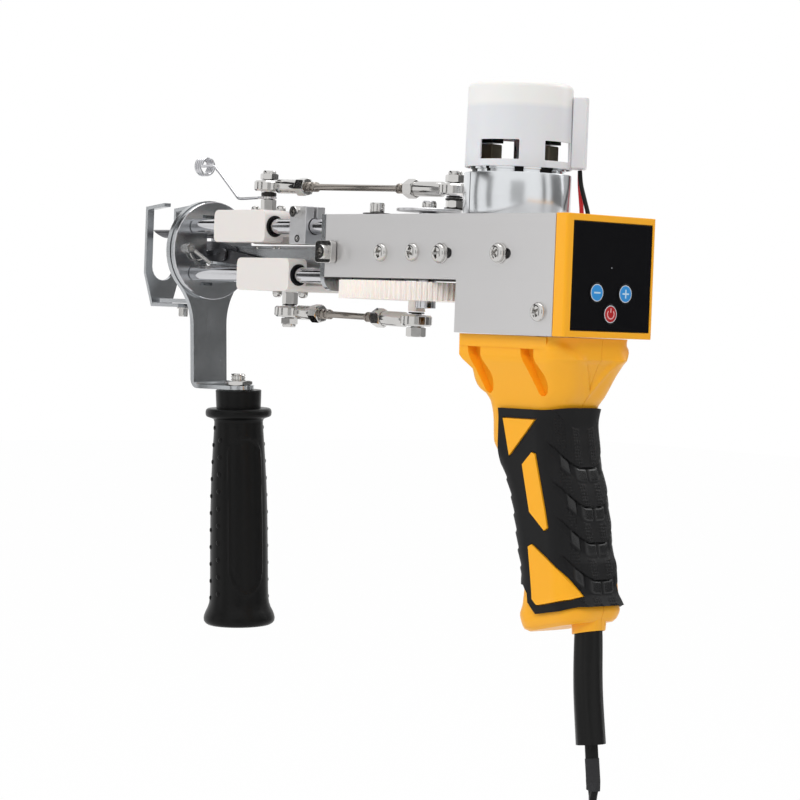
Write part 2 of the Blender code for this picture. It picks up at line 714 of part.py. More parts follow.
def build_connecting_rod(level):
    """Two ball-jointed rod ends, the threaded link with its lock nuts between them, and the crank bolt."""
    wrist, pin, wrist_z, pin_z = rod_geometry(level)
    run = Vector((pin[0] - wrist[0], pin[1] - wrist[1], pin_z - wrist_z))
    frame = Matrix.Translation(Vector((wrist[0], wrist[1], wrist_z)))
    frame @= run.to_track_quat("X", "Z").to_matrix().to_4x4()
    length = run.length
    for end, name in ((0.0, f"{level}_rod_end_front"), (length, f"{level}_rod_end_rear")):
        inward = 1 if end == 0 else -1
        half = EYE_HEIGHT / 2
        chamfer = EYE_HEIGHT / 6
        profile = [
            (EYE_BORE + BALL_LIP, -half, 0),
            (EYE_RADIUS - chamfer, -half, 0),
            (EYE_RADIUS, -half + chamfer, 0),
            (EYE_RADIUS, half - chamfer, 0),
            (EYE_RADIUS - chamfer, half, 0),
            (EYE_BORE + BALL_LIP, half, 0),
            (EYE_BORE, half - chamfer / 2, 0),
            (EYE_BORE, -half + chamfer / 2, 0),
        ]
        eye = turned(name, profile, "Z", (0, 0), BRIGHT_NUT, 20, closed=True)
        start = EYE_RADIUS - EYE_HEIGHT / 4
        stop = start + BARREL_LENGTH
        bore = LINK_RADIUS + SEAT
        shoulder = start + BARREL_LENGTH / 4
        reach = start + BARREL_LENGTH / 8
        barrel = turned(
            f"{name}_barrel",
            [
                (BARREL_RADIUS - chamfer, inward * start, 0),
                (BARREL_RADIUS, inward * reach, 0),
                (BARREL_RADIUS, inward * stop, 0),
                (bore, inward * stop, 0),
                (bore, inward * shoulder, 0),
                (0, inward * shoulder, 0),
            ],
            "X", (0, 0), BRIGHT_NUT, 12,
        )
        join(eye, barrel)
        place = frame @ Matrix.Translation(Vector((end, 0, 0)))
        eye.matrix_world = place
        barrel.matrix_world = place
    start = EYE_RADIUS - EYE_HEIGHT / 4 + BARREL_LENGTH / 4 + SEAT
    nut = EYE_RADIUS - EYE_HEIGHT / 4 + BARREL_LENGTH + SEAT
    profile = [
        (LINK_RADIUS, start, 0),
        (LINK_RADIUS, nut, 0),
        (NUT_HALF_FLATS, nut, 6),
        (NUT_HALF_FLATS, nut + LINK_NUT_LENGTH, 6),
        (LINK_RADIUS, nut + LINK_NUT_LENGTH, 0),
        (LINK_RADIUS, nut + LINK_NUT_LENGTH + LINK_THREAD, 0),
        (LINK_WAIST, nut + LINK_NUT_LENGTH + LINK_THREAD, 0),
    ]
    profile += [(radius, length - place, sides) for radius, place, sides in profile[::-1]]
    link = turned(f"{level}_link", profile, "X", (0, 0), POLISHED_ROD, 12)
    link.matrix_world = frame
    build_crank_bolt(level, pin, pin_z)


def build_crank_bolt(level, pin, pin_z):
    """The bolt through a rod's rear eye. It ends a running gap short of the crank's boss."""
    half = EYE_HEIGHT / 2
    if level == "upper":
        foot = pin_z - half - SEAT
        seat = pin_z + half + SEAT
        profile = [
            (SPACER_RADIUS, foot - CRANK_SPACER + SEAT, 0),
            (SPACER_RADIUS, foot, 0),
            (WRIST_BOLT_RADIUS, foot, 0),
            (WRIST_BOLT_RADIUS, seat, 0),
            (NUT_HALF_FLATS, seat, 6),
            (NUT_HALF_FLATS, seat + CRANK_NUT_HEIGHT, 6),
        ]
    else:
        foot = pin_z + half + SEAT
        seat = pin_z - half - SEAT
        profile = [
            (NUT_HALF_FLATS, seat - CRANK_BOLT_HEAD, 6),
            (NUT_HALF_FLATS, seat, 6),
            (WRIST_BOLT_RADIUS, seat, 0),
            (WRIST_BOLT_RADIUS, foot, 0),
            (SPACER_RADIUS, foot, 0),
            (SPACER_RADIUS, foot + CRANK_SPACER - SEAT, 0),
        ]
    turned(f"{level}_crank_bolt", profile, "Z", pin, BRIGHT_NUT, 12)


def build_wrist_bolt(level):
    """The hexagonal standoff on a sliding block, with the stud that the rod's front eye turns on."""
    half = EYE_HEIGHT / 2
    if level == "upper":
        base = block_top("upper") + SEAT
        neck = base + STANDOFF_HEIGHT - SEAT
        spacer = neck + NECK_HEIGHT
        eye = upper_eye_z()
        profile = [
            (STANDOFF_HALF_FLATS, base, 6),
            (STANDOFF_HALF_FLATS, neck, 6),
            (NECK_RADIUS, neck, 0),
            (NECK_RADIUS, spacer, 0),
            (SPACER_RADIUS, spacer, 0),
            (SPACER_RADIUS, eye - half - SEAT, 0),
            (WRIST_BOLT_RADIUS, eye - half - SEAT, 0),
            (WRIST_BOLT_RADIUS, eye + half + SEAT, 0),
            (NUT_HALF_FLATS, eye + half + SEAT, 6),
            (NUT_HALF_FLATS, eye + half + WRIST_NUT_HEIGHT, 6),
        ]
        turned("upper_wrist_bolt", profile, "Z", (UPPER_WRIST_X, 0), BRIGHT_NUT, 12)
        return
    top = block_base("lower") - SEAT
    eye = lower_eye_z()
    profile = [
        (NUT_HALF_FLATS, eye - half - WRIST_NUT_HEIGHT, 6),
        (NUT_HALF_FLATS, eye - half - SEAT, 6),
        (WRIST_BOLT_RADIUS, eye - half - SEAT, 0),
        (WRIST_BOLT_RADIUS, eye + half + SEAT, 0),
        (SPACER_RADIUS, eye + half + SEAT, 0),
        (SPACER_RADIUS, top - STANDOFF_HEIGHT, 0),
        (STANDOFF_HALF_FLATS, top - STANDOFF_HEIGHT, 6),
        (STANDOFF_HALF_FLATS, top, 6),
    ]
    turned("lower_wrist_bolt", profile, "Z", (LOWER_WRIST_X, 0), BRIGHT_NUT, 12)


# Sliding blocks
NEEDLE_GROOVE_WIDTH = 0.0124
NEEDLE_GROOVE_HEIGHT = 0.0031
SCISSOR_CHANNEL_WALL = 0.0009
SCISSOR_CHANNEL_FLOOR = 0.0032
SCISSOR_CHANNEL_HALF = ROD_OFFSET - ROD_RADIUS - BLOCK_BORE_GAP - SCISSOR_CHANNEL_WALL


def build_sliding_block(level):
    """A white block on two guide rods. The upper one is grooved below, the lower one is a deep trough."""
    upper = level == "upper"
    middle = UPPER_WRIST_X if upper else LOWER_WRIST_X
    name = "needle_slider" if upper else "scissor_slider"
    span = (middle - BLOCK_LENGTH / 2, middle + BLOCK_LENGTH / 2)
    low, high = block_base(level), block_top(level)
    outline = rounded_box(span, (low, high), (BLOCK_EDGE,) * 4, 3)
    half = BLOCK_WIDTH / 2
    body = prism(name, outline, "Y", -half, half, WHITE_SLIDER)
    ends = (span[0] - OVERRUN, span[1] + OVERRUN)
    if upper:
        reach = NEEDLE_GROOVE_WIDTH / 2
        groove = block(
            "needle_groove", ends, (-reach, reach), (low - OVERRUN, low + NEEDLE_GROOVE_HEIGHT), WHITE_SLIDER
        )
    else:
        reach = SCISSOR_CHANNEL_HALF
        floor = low + SCISSOR_CHANNEL_FLOOR
        groove = block("scissor_channel", ends, (-reach, reach), (floor, high + OVERRUN), WHITE_SLIDER)
    cut(body, groove)
    z = HEAD_Z + ROD_OFFSET * (1 if upper else -1)
    for side in (-1, 1):
        bore = cylinder(
            f"{name}_bore_{side + 1}", "X", (side * ROD_OFFSET, z), ROD_RADIUS + BLOCK_BORE_GAP, *ends,
            WHITE_SLIDER, SMALL_ROUND,
        )
        cut(body, bore)
    return body


# Round head, guide rods and what is fixed to them
HUB_RADIUS = 0.0202
HUB_LENGTH = 0.0036
HEAD_WINDOW_HALF = 0.0046
HEAD_WINDOW_TOP = 0.0135
HEAD_WINDOW_BASE = 0.0085
SIGHT_SLOT_WIDTH = 0.0078
SIGHT_SLOT_HEIGHT = 0.0016
SIGHT_SLOT_RADIUS = 0.0178
SIGHT_SLOT_OFFSET = 0.0040
CLAMP_LENGTH = 0.0130
CLAMP_WIDTH = 0.0124
CLAMP_HEIGHT = 0.0190
CLAMP_SETBACK = 0.0362
CLAMP_SLIT = 0.0016
CLAMP_LIFT = 0.0003
SIDE_CLAMP_LENGTH = 0.0125
SIDE_CLAMP_HEIGHT = 0.0110
SIDE_CLAMP_PROUD = 0.0035
SIDE_CLAMP_BELOW_TOP = 0.0185


def build_head():
    """The round head: a disc and hub that the hand lever turns on, open for the needle and the blades."""
    front = DISC_X - DISC_THICKNESS
    hub_front = front - HUB_LENGTH
    centre = (0, HEAD_Z)
    head = cylinder("front_disc", "X", centre, DISC_RADIUS, front, DISC_X, PLATED_STEEL, 48)
    hub = cylinder(
        "head_hub", "X", centre, HUB_RADIUS, hub_front, front + DISC_THICKNESS / 2, PLATED_STEEL, ROUND
    )
    join(head, hub)
    ends = (hub_front - OVERRUN, DISC_X + OVERRUN)
    window = rounded_box(
        (-HEAD_WINDOW_HALF, HEAD_WINDOW_HALF), (HEAD_Z - HEAD_WINDOW_BASE, HEAD_Z + HEAD_WINDOW_TOP),
        (HEAD_WINDOW_HALF / 2,) * 4, 3,
    )
    cut(head, prism("head_window", window, "X", ends[0], ends[1], PLATED_STEEL))
    for side, place in ((1, "upper"), (-1, "lower")):
        half_w, half_h = SIGHT_SLOT_WIDTH / 2, SIGHT_SLOT_HEIGHT / 2
        z = HEAD_Z + side * SIGHT_SLOT_RADIUS
        y = -SIGHT_SLOT_OFFSET
        y0, y1, z0, z1 = y - half_w, y + half_w, z - half_h, z + half_h
        shape = [(y0, z0), (y1, z0), (y1, z1), (y0, z1)]
        cut(head, prism(f"sight_slot_{place}", shape, "X", ends[0], ends[1], PLATED_STEEL))


def build_guide_rods():
    names = ("guide_rod_upper_left", "guide_rod_upper_right", "guide_rod_lower_left", "guide_rod_lower_right")
    rear = FRONT_X - SEAT
    for name, (y, z) in zip(names, rod_places()):
        cylinder(name, "X", (y, z), ROD_RADIUS, DISC_X + SEAT, rear, POLISHED_ROD, SMALL_ROUND)


def build_rod_clamp():
    """The split aluminium clamp on the upper left guide rod, open in a slit above the rod."""
    y, z = rod_places()[0]
    rear = ROD_STOP_X - CLAMP_SETBACK + CLAMP_LENGTH
    span = (rear - CLAMP_LENGTH, rear)
    half = CLAMP_WIDTH / 2
    mid_z = z + CLAMP_LIFT
    body = block(
        "rod_clamp", span, (y - half, y + half), (mid_z - CLAMP_HEIGHT / 2, mid_z + CLAMP_HEIGHT / 2),
        ALUMINIUM,
    )
    ends = (span[0] - OVERRUN, span[1] + OVERRUN)
    cut(
        body,
        cylinder("clamp_bore", "X", (y, z), ROD_RADIUS + SEAT, ends[0], ends[1], ALUMINIUM, SMALL_ROUND),
    )
    slit = CLAMP_SLIT / 2
    cut(body, block("clamp_slit", ends, (y - slit, y + slit), (z, mid_z + CLAMP_HEIGHT), ALUMINIUM))


def build_side_clamp():
    """The small square block proud of the left side plate, at its front edge."""
    front = ROD_STOP_X
    z = TOP_Z - SIDE_CLAMP_BELOW_TOP
    half = SIDE_CLAMP_HEIGHT / 2
    corner = SIDE_CLAMP_HEIGHT / 6
    shape = rounded_box((front, front + SIDE_CLAMP_LENGTH), (z - half, z + half), (corner,) * 4, 3)
    outer = -HALF_WIDTH - SEAT
    prism("side_clamp", shape, "Y", outer - SIDE_CLAMP_PROUD, outer, BRIGHT_NUT)


# Scissors: places are counted from the middle of the head
BAR_NEAR = 0.0020
BAR_THICKNESS = 0.0030
BAR_TOP = 0.0016
BAR_HEIGHT = 0.0115
FIXED_BLADE_THICKNESS = 0.0016
BLADE_GAP = 0.0005
MOVING_BLADE_THICKNESS = 0.0018
BLADE_TIP_REACH = 0.0270
BLADE_TIP_RISE = 0.0040
PIVOT_SETBACK = 0.0120
PIVOT_DROP = 0.0020
PIVOT_RADIUS = 0.0020
PIVOT_HEAD_RADIUS = 0.0034
PIVOT_HEAD_HEIGHT = 0.0015
CAM_PIN_RADIUS = 0.0015
CAM_PIN_DROP = 0.0072
CAM_PIN_FROM_FRONT = 0.0060
CAM_WALL = 0.0021
BLADE_SWING_DEG = 6.0
BLADE_HEIGHT = 0.0066
SCISSOR_STROKE = 0.0158


def pivot_place():
    return DISC_X + PIVOT_SETBACK, HEAD_Z - PIVOT_DROP


def cam_pin_place():
    return LOWER_WRIST_X - BLOCK_LENGTH / 2 + CAM_PIN_FROM_FRONT, HEAD_Z - CAM_PIN_DROP


def cam_path(steps):
    """The cam pin's path as the blade sees it: the pin goes straight back while the blade swings evenly."""
    pivot = pivot_place()
    pin = cam_pin_place()
    points = []
    for i in range(steps + 1):
        share = i / steps
        angle = -math.radians(BLADE_SWING_DEG) * share
        x = pin[0] + SCISSOR_STROKE * share - pivot[0]
        z = pin[1] - pivot[1]
        turned_x = x * math.cos(angle) - z * math.sin(angle)
        turned_z = x * math.sin(angle) + z * math.cos(angle)
        points.append((pivot[0] + turned_x, pivot[1] + turned_z))
    return points


def band_outline(path, half_width, steps=4):
    """The outline of a band of even width along a path, round at both ends."""
    upper, lower = [], []
    for i, (x, z) in enumerate(path):
        before, after = path[max(i - 1, 0)], path[min(i + 1, len(path) - 1)]
        slope = math.atan2(after[1] - before[1], after[0] - before[0])
        across = (-math.sin(slope) * half_width, math.cos(slope) * half_width)
        upper.append((x + across[0], z + across[1]))
        lower.append((x - across[0], z - across[1]))
    first = math.degrees(math.atan2(path[1][1] - path[0][1], path[1][0] - path[0][0]))
    last = math.degrees(math.atan2(path[-1][1] - path[-2][1], path[-1][0] - path[-2][0]))
    nose = arc(path[-1], half_width, last - 90, last + 90, steps)[1:-1]
    heel = arc(path[0], half_width, first + 90, first + 270, steps)[1:-1]
    return lower + nose + upper[::-1] + heel


def build_scissors():
    """The carrier bar, the fixed blade on it and the moving blade with its conjugate cam slot."""
    pivot = pivot_place()
    bar_top = HEAD_Z + BAR_TOP
    bar_y = (BAR_NEAR, BAR_NEAR + BAR_THICKNESS)
    bar_span = (DISC_X + SEAT, ROD_STOP_X - SEAT)
    bar = block("blade_bar", bar_span, bar_y, (bar_top - BAR_HEIGHT, bar_top), PLATED_STEEL)
    tip = (DISC_X - BLADE_TIP_REACH, HEAD_Z + BLADE_TIP_RISE)
    half = BLADE_HEIGHT / 2
    fixed_rear = BAR_NEAR - SEAT
    fixed_near = fixed_rear - FIXED_BLADE_THICKNESS
    shape = [
        (tip[0], tip[1]),
        (DISC_X - HUB_LENGTH, pivot[1] + half / 2),
        (pivot[0] + BLADE_HEIGHT, pivot[1] - half),
        (pivot[0] + BLADE_HEIGHT, bar_top),
        (pivot[0] - half, HEAD_Z + BLADE_TIP_RISE),
        (DISC_X - HUB_LENGTH, tip[1] + half / 3),
        (tip[0], tip[1] + half / 6),
    ]
    fixed = prism("fixed_blade", shape, "Y", fixed_near, fixed_rear, BLADE_STEEL, smooth=False)
    moving_rear = fixed_near - BLADE_GAP
    moving_near = moving_rear - MOVING_BLADE_THICKNESS
    band = CAM_PIN_RADIUS + RUN + CAM_WALL
    path = cam_path(6)
    tail = band_outline(path, band)
    moving = prism("moving_blade", tail, "Y", moving_near, moving_rear, BLADE_STEEL)
    arm_drop = path[0][1] - pivot[1]
    arm = [
        (tip[0], tip[1] - half / 3),
        (DISC_X - HUB_LENGTH, pivot[1] - half),
        (pivot[0], pivot[1] - half - PIVOT_RADIUS / 2),
        (path[0][0], path[0][1] - band / 2),
        (path[0][0], path[0][1] + band / 2),
        (pivot[0] + BLADE_HEIGHT, pivot[1] + half + arm_drop / 4),
        (pivot[0], pivot[1] + half),
        (DISC_X - HUB_LENGTH, pivot[1] + half / 2),
        (tip[0], tip[1]),
    ]
    join(moving, prism("blade_arm", arm, "Y", moving_near, moving_rear, BLADE_STEEL))
    low, high = moving_near - OVERRUN, moving_rear + OVERRUN
    slot = band_outline(path, CAM_PIN_RADIUS + RUN)
    cut(moving, prism("cam_slot", slot, "Y", low, high, BLADE_STEEL))
    pivot_bore = cylinder("blade_bore", "Y", pivot, PIVOT_RADIUS + SEAT, low, high, BLADE_STEEL, SMALL_ROUND)
    cut(moving, pivot_bore)
    screw = turned(
        "pivot_screw",
        [
            (PIVOT_HEAD_RADIUS, moving_near - SEAT - PIVOT_HEAD_HEIGHT, 0),
            (PIVOT_HEAD_RADIUS, moving_near - SEAT, 0),
            (PIVOT_RADIUS, moving_near - SEAT, 0),
            (PIVOT_RADIUS, fixed_rear - FIXED_BLADE_THICKNESS / 2, 0),
        ],
        "Y", pivot, BRIGHT_NUT, SMALL_ROUND,
    )
    join(fixed, screw)
    return bar


def build_cam_pin(slider):
    """The stub pin on the trough's near wall that works in the blade's cam slot."""
    pin = cam_pin_place()
    fixed_near = BAR_NEAR - SEAT - FIXED_BLADE_THICKNESS
    reach = fixed_near - SEAT
    root = -SCISSOR_CHANNEL_HALF - SCISSOR_CHANNEL_WALL
    join(slider, cylinder("cam_pin", "Y", pin, CAM_PIN_RADIUS, root, reach, WHITE_SLIDER, 12))


# Needle
NEEDLE_TIP_REACH = 0.0544
NEEDLE_BEVEL = 0.0110
NEEDLE_HOLD = 0.0120
COLLAR_RADIUS = 0.0042
COLLAR_LENGTH = 0.0022


def build_needle():
    """The hollow needle with its slanted point, and the collar that clamps it in the upper block."""
    z = HEAD_Z + NEEDLE_RISE
    tip = DISC_X - NEEDLE_TIP_REACH
    block_front = UPPER_WRIST_X - BLOCK_LENGTH / 2
    rear = block_front + NEEDLE_HOLD
    profile = [
        (NEEDLE_BORE, tip, 0),
        (NEEDLE_RADIUS, tip, 0),
        (NEEDLE_RADIUS, rear, 0),
        (NEEDLE_BORE, rear, 0),
    ]
    needle = turned("needle", profile, "X", (0, z), POLISHED_ROD, SMALL_ROUND, closed=True)
    high = NEEDLE_RADIUS * 2
    front = tip - OVERRUN
    slope = NEEDLE_BEVEL / (2 * NEEDLE_RADIUS)
    bevel = [
        (front, z + NEEDLE_RADIUS + OVERRUN / slope),
        (tip, z + NEEDLE_RADIUS),
        (tip + NEEDLE_BEVEL, z - NEEDLE_RADIUS),
        (tip + NEEDLE_BEVEL + OVERRUN, z - NEEDLE_RADIUS - OVERRUN / slope),
        (front, z - NEEDLE_RADIUS - OVERRUN),
    ]
    cut(needle, prism("needle_bevel", bevel, "Y", -high, high, POLISHED_ROD))
    inner = NEEDLE_RADIUS + SEAT
    collar = [
        (inner, block_front - SEAT - COLLAR_LENGTH, 0),
        (COLLAR_RADIUS, block_front - SEAT - COLLAR_LENGTH, 0),
        (COLLAR_RADIUS, block_front - SEAT, 0),
        (inner, block_front - SEAT, 0),
    ]
    turned("needle_arm", collar, "X", (0, z), BRIGHT_NUT, SMALL_ROUND, closed=True)
    return (z, block_front, rear)


def bore_for_needle(slider, seat):
    z, front, rear = seat
    tool = cylinder(
        "needle_bore", "X", (0, z), NEEDLE_RADIUS + SEAT, front - OVERRUN, rear + SEAT, WHITE_SLIDER,
        SMALL_ROUND,
    )
    cut(slider, tool)


# Yarn guide: a wire eye of close turns over the head
GUIDE_WIRE = 0.00075
GUIDE_LOOP_RADIUS = 0.0036
GUIDE_LOOP_POINTS = 6
GUIDE_TURN_STEPS = 10
GUIDE_LOOP_START_DEG = 20
GUIDE_LOOP_STEP_DEG = 32
GUIDE_BEND_REACH = 0.0278
GUIDE_EYE_REACH = 0.0562
GUIDE_EYE_RISE = 0.0168
GUIDE_EYE_RADIUS = 0.0046
GUIDE_TURNS = 3
GUIDE_TURN_STEP = 0.0021


def build_yarn_guide():
    """The wire that the yarn runs through: a loop round the wrist bolt, a rising arm and a coiled eye."""
    x0 = UPPER_WRIST_X
    z0 = block_top("upper") + STANDOFF_HEIGHT + NECK_HEIGHT / 2
    points = []
    for i in range(GUIDE_LOOP_POINTS):
        angle = math.radians(GUIDE_LOOP_START_DEG + GUIDE_LOOP_STEP_DEG * i)
        points.append((x0 + GUIDE_LOOP_RADIUS * math.cos(angle), GUIDE_LOOP_RADIUS * math.sin(angle), z0))
    bend_x = x0 - GUIDE_BEND_REACH
    points.append((bend_x + GUIDE_LOOP_RADIUS, 0, z0))
    points.append((bend_x, 0, z0 + GUIDE_WIRE))
    eye_x = x0 - GUIDE_EYE_REACH
    eye_z = z0 + GUIDE_EYE_RISE
    steps = GUIDE_TURN_STEPS
    for i in range(GUIDE_TURNS * steps + 1):
        angle = 2 * math.pi * i / steps - math.pi / 2
        x = eye_x + GUIDE_TURNS * GUIDE_TURN_STEP / 2 - GUIDE_TURN_STEP * i / steps
        y = GUIDE_EYE_RADIUS * math.cos(angle)
        z = eye_z + GUIDE_EYE_RADIUS * math.sin(angle)
        points.append((x, y, z))
    wire("yarn_guide", points, GUIDE_WIRE, POLISHED_ROD)


# Presser foot and its arm
FACE_RADIUS = 0.0222
FACE_THICKNESS = 0.002
ARM_WIDTH = 0.0140
ARM_REACH = 0.0310
ARM_DROP = 0.0262
ARM_THICKNESS = 0.0022
FOOT_PLATE = 0.0020
FOOT_REACH = 0.0450
FOOT_HALF = 0.0116
FOOT_SLOT_HALF = 0.0072
FOOT_TOP = 0.0232
FOOT_SLOT_BASE = 0.0163
FOOT_SHOULDER = 0.0128
FOOT_BOTTOM_HALF = 0.0062
FOOT_FLANGE = 0.0232
FOOT_TIP = 0.0150
FOOT_TIP_RISE = 0.0019
FOOT_BOLT_SETBACK = 0.0259
FOOT_BOLT_RADIUS = 0.0022
FOOT_SLIT_FRONT = 0.0062


def build_foot_arm():
    """The plate over the hub that keeps the hand lever on, with the arm that carries the presser foot."""
    rear = DISC_X - DISC_THICKNESS - HUB_LENGTH - SEAT
    front = rear - FACE_THICKNESS
    plate = cylinder("foot_arm", "X", (0, HEAD_Z), FACE_RADIUS, front, rear, PLATED_STEEL, ROUND)
    half = ARM_WIDTH / 2
    base = HEAD_Z - ARM_DROP - ARM_THICKNESS
    neck_top = HEAD_Z - FACE_RADIUS / 2
    join(plate, block("arm_neck", (front, rear), (-half, half), (base, neck_top), PLATED_STEEL))
    tab_front = front - ARM_REACH + FACE_THICKNESS
    tab = block("arm_tab", (tab_front, rear), (-half, half), (base, base + ARM_THICKNESS), PLATED_STEEL)
    join(plate, tab)
    ends = (front - OVERRUN, rear + OVERRUN)
    window = rounded_box(
        (-HEAD_WINDOW_HALF, HEAD_WINDOW_HALF), (HEAD_Z - HEAD_WINDOW_BASE, HEAD_Z + HEAD_WINDOW_TOP),
        (HEAD_WINDOW_HALF / 2,) * 4, 3,
    )
    cut(plate, prism("arm_window", window, "X", ends[0], ends[1], PLATED_STEEL))
    bolt = (DISC_X - FOOT_BOLT_SETBACK, 0)
    low, high = base - OVERRUN, base + OVERRUN
    cut(plate, cylinder("arm_bolt_hole", "Z", bolt, FOOT_BOLT_RADIUS, low, high, PLATED_STEEL, SMALL_ROUND))


def build_presser_foot():
    """The forked foot: a plate with a deep slot for the needle, bent prong tips and a flange below."""
    plane = DISC_X - FOOT_REACH
    faces = (plane - FOOT_PLATE, plane)
    top = HEAD_Z + FOOT_TOP
    shoulder = HEAD_Z - FOOT_SHOULDER
    flange_top = HEAD_Z - ARM_DROP - ARM_THICKNESS - SEAT
    base = flange_top - FOOT_PLATE
    slot_base = HEAD_Z - FOOT_SLOT_BASE
    half, inner = FOOT_HALF, FOOT_SLOT_HALF
    slot = arc((0, slot_base + inner), inner, 0, -180, 10)
    low = FOOT_BOTTOM_HALF
    outline = [(half, top), (half, shoulder), (low, base), (-low, base), (-half, shoulder)]
    outline += [(-half, top), (-inner, top)] + slot[::-1] + [(inner, top)]
    foot = prism("presser_foot", outline, "X", faces[0], faces[1], PLATED_STEEL)
    for side, name in ((-1, "left_tip"), (1, "right_tip")):
        edges = sorted((side * inner, side * half))
        lift = FOOT_TIP_RISE
        shape = [
            (faces[0], top - FOOT_PLATE),
            (plane + FOOT_TIP, top - FOOT_PLATE + lift),
            (plane + FOOT_TIP, top + lift),
            (faces[0] + FOOT_PLATE / 2, top),
        ]
        join(foot, prism(name, shape, "Y", edges[0], edges[1], PLATED_STEEL))
    flange_half = FOOT_BOTTOM_HALF
    flange = block(
        "foot_flange", (faces[0], plane + FOOT_FLANGE), (-flange_half, flange_half), (base, flange_top),
        PLATED_STEEL,
    )
    join(foot, flange)
    slit = (plane + FOOT_SLIT_FRONT, plane + FOOT_FLANGE + OVERRUN)
    width = (-FOOT_BOLT_RADIUS, FOOT_BOLT_RADIUS)
    cut(foot, block("foot_slit", slit, width, (base - OVERRUN, flange_top + OVERRUN), PLATED_STEEL))


# Hand lever
BRACKET_RING = 0.0265
BRACKET_BORE = 0.0205
BRACKET_HALF_STEM = 0.0110
BRACKET_FILLET = 0.0320
BRACKET_DROP = 0.0730
BRACKET_TAB = 0.0415
STUD_RADIUS = 0.004
STUD_RISE = 0.0070
STUD_SETBACK = 0.0248
STUD_WASHER_RADIUS = 0.0084
STUD_WASHER = 0.0020
STUD_HOLD = 0.0160
LEVER_PROFILE_SHARES = [
    # height share downwards, radius share of the widest
    (0.000, 0.640),
    (0.078, 0.640),
    (0.086, 0.900),
    (0.098, 0.925),
    (0.112, 0.900),
    (0.125, 0.680),
    (0.300, 0.745),
    (0.520, 0.800),
    (0.890, 0.815),
    (0.930, 0.880),
    (0.965, 1.000),
    (0.992, 0.985),
    (1.000, 0.920),
]
LEVER_LENGTH = 0.1260
LEVER_RADIUS = 0.0174


def hang(piece):
    """Turns a piece of the hand lever round the head's axis to the angle at which it hangs."""
    centre = Vector((0, 0, HEAD_Z))
    turn = Matrix.Rotation(math.radians(BRACKET_HANG_DEG), 4, "X")
    piece.matrix_world = Matrix.Translation(centre) @ turn @ Matrix.Translation(-centre) @ piece.matrix_world


def build_hand_lever():
    """The bracket whose ring turns round the hub, the stud at its foot and the black hand grip on it."""
    rear = DISC_X - DISC_THICKNESS - SEAT
    front = rear - BRACKET_THICKNESS
    fillet_x = BRACKET_HALF_STEM + BRACKET_FILLET
    reach = BRACKET_RING + BRACKET_FILLET
    drop = math.sqrt(reach * reach - fillet_x * fillet_x)
    meet_deg = math.degrees(math.atan2(-drop, fillet_x))
    foot_z = HEAD_Z - BRACKET_DROP
    outline = arc((0, HEAD_Z), BRACKET_RING, meet_deg, 180 - meet_deg, 36)
    left = arc((-fillet_x, HEAD_Z - drop), BRACKET_FILLET, -meet_deg, 0, 8)
    right = arc((fillet_x, HEAD_Z - drop), BRACKET_FILLET, 180, 180 + meet_deg, 8)
    outline = outline[:-1] + left + [(-BRACKET_HALF_STEM, foot_z), (BRACKET_HALF_STEM, foot_z)] + right[:-1]
    bracket = prism("handle_bracket", outline, "X", front, rear, PLATED_STEEL)
    tab_rear = rear + BRACKET_TAB
    tab_half = BRACKET_HALF_STEM
    tab_z = (foot_z, foot_z + BRACKET_THICKNESS)
    tab = block("bracket_tab", (front, tab_rear), (-tab_half, tab_half), tab_z, PLATED_STEEL)
    join(bracket, tab)
    low, high = front - OVERRUN, rear + OVERRUN
    bore = cylinder("bracket_bore", "X", (0, HEAD_Z), BRACKET_BORE, low, high, PLATED_STEEL, ROUND)
    cut(bracket, bore)
    stud_x = rear + STUD_SETBACK
    hole = cylinder(
        "stud_hole", "Z", (stud_x, 0), STUD_RADIUS + SEAT, foot_z - OVERRUN, foot_z + OVERRUN, PLATED_STEEL,
        SMALL_ROUND,
    )
    cut(bracket, hole)
    washer_top = foot_z - SEAT
    washer_low = washer_top - STUD_WASHER
    profile = [
        (STUD_RADIUS, washer_low - STUD_HOLD, 0),
        (STUD_RADIUS, washer_low, 0),
        (STUD_WASHER_RADIUS, washer_low, 0),
        (STUD_WASHER_RADIUS, washer_top, 0),
        (STUD_RADIUS, washer_top, 0),
        (STUD_RADIUS, foot_z + BRACKET_THICKNESS + STUD_RISE, 0),
    ]
    stud = turned("bracket_stud", profile, "Z", (stud_x, 0), BRIGHT_NUT, SMALL_ROUND)
    top = washer_low - SEAT
    bore_radius = STUD_RADIUS + SEAT
    bore_floor = washer_low - STUD_HOLD - SEAT
    profile = [(0, bore_floor, 0), (bore_radius, bore_floor, 0), (bore_radius, top, 0)]
    profile += [
        (LEVER_RADIUS * share_r, top - LEVER_LENGTH * share_z, 0) for share_z, share_r in LEVER_PROFILE_SHARES
    ]
    lever = turned("side_handle", profile, "Z", (stud_x, 0), BLACK_PLASTIC, 28)
    for piece in (bracket, tab, bore, hole, stud, lever):
        hang(piece)


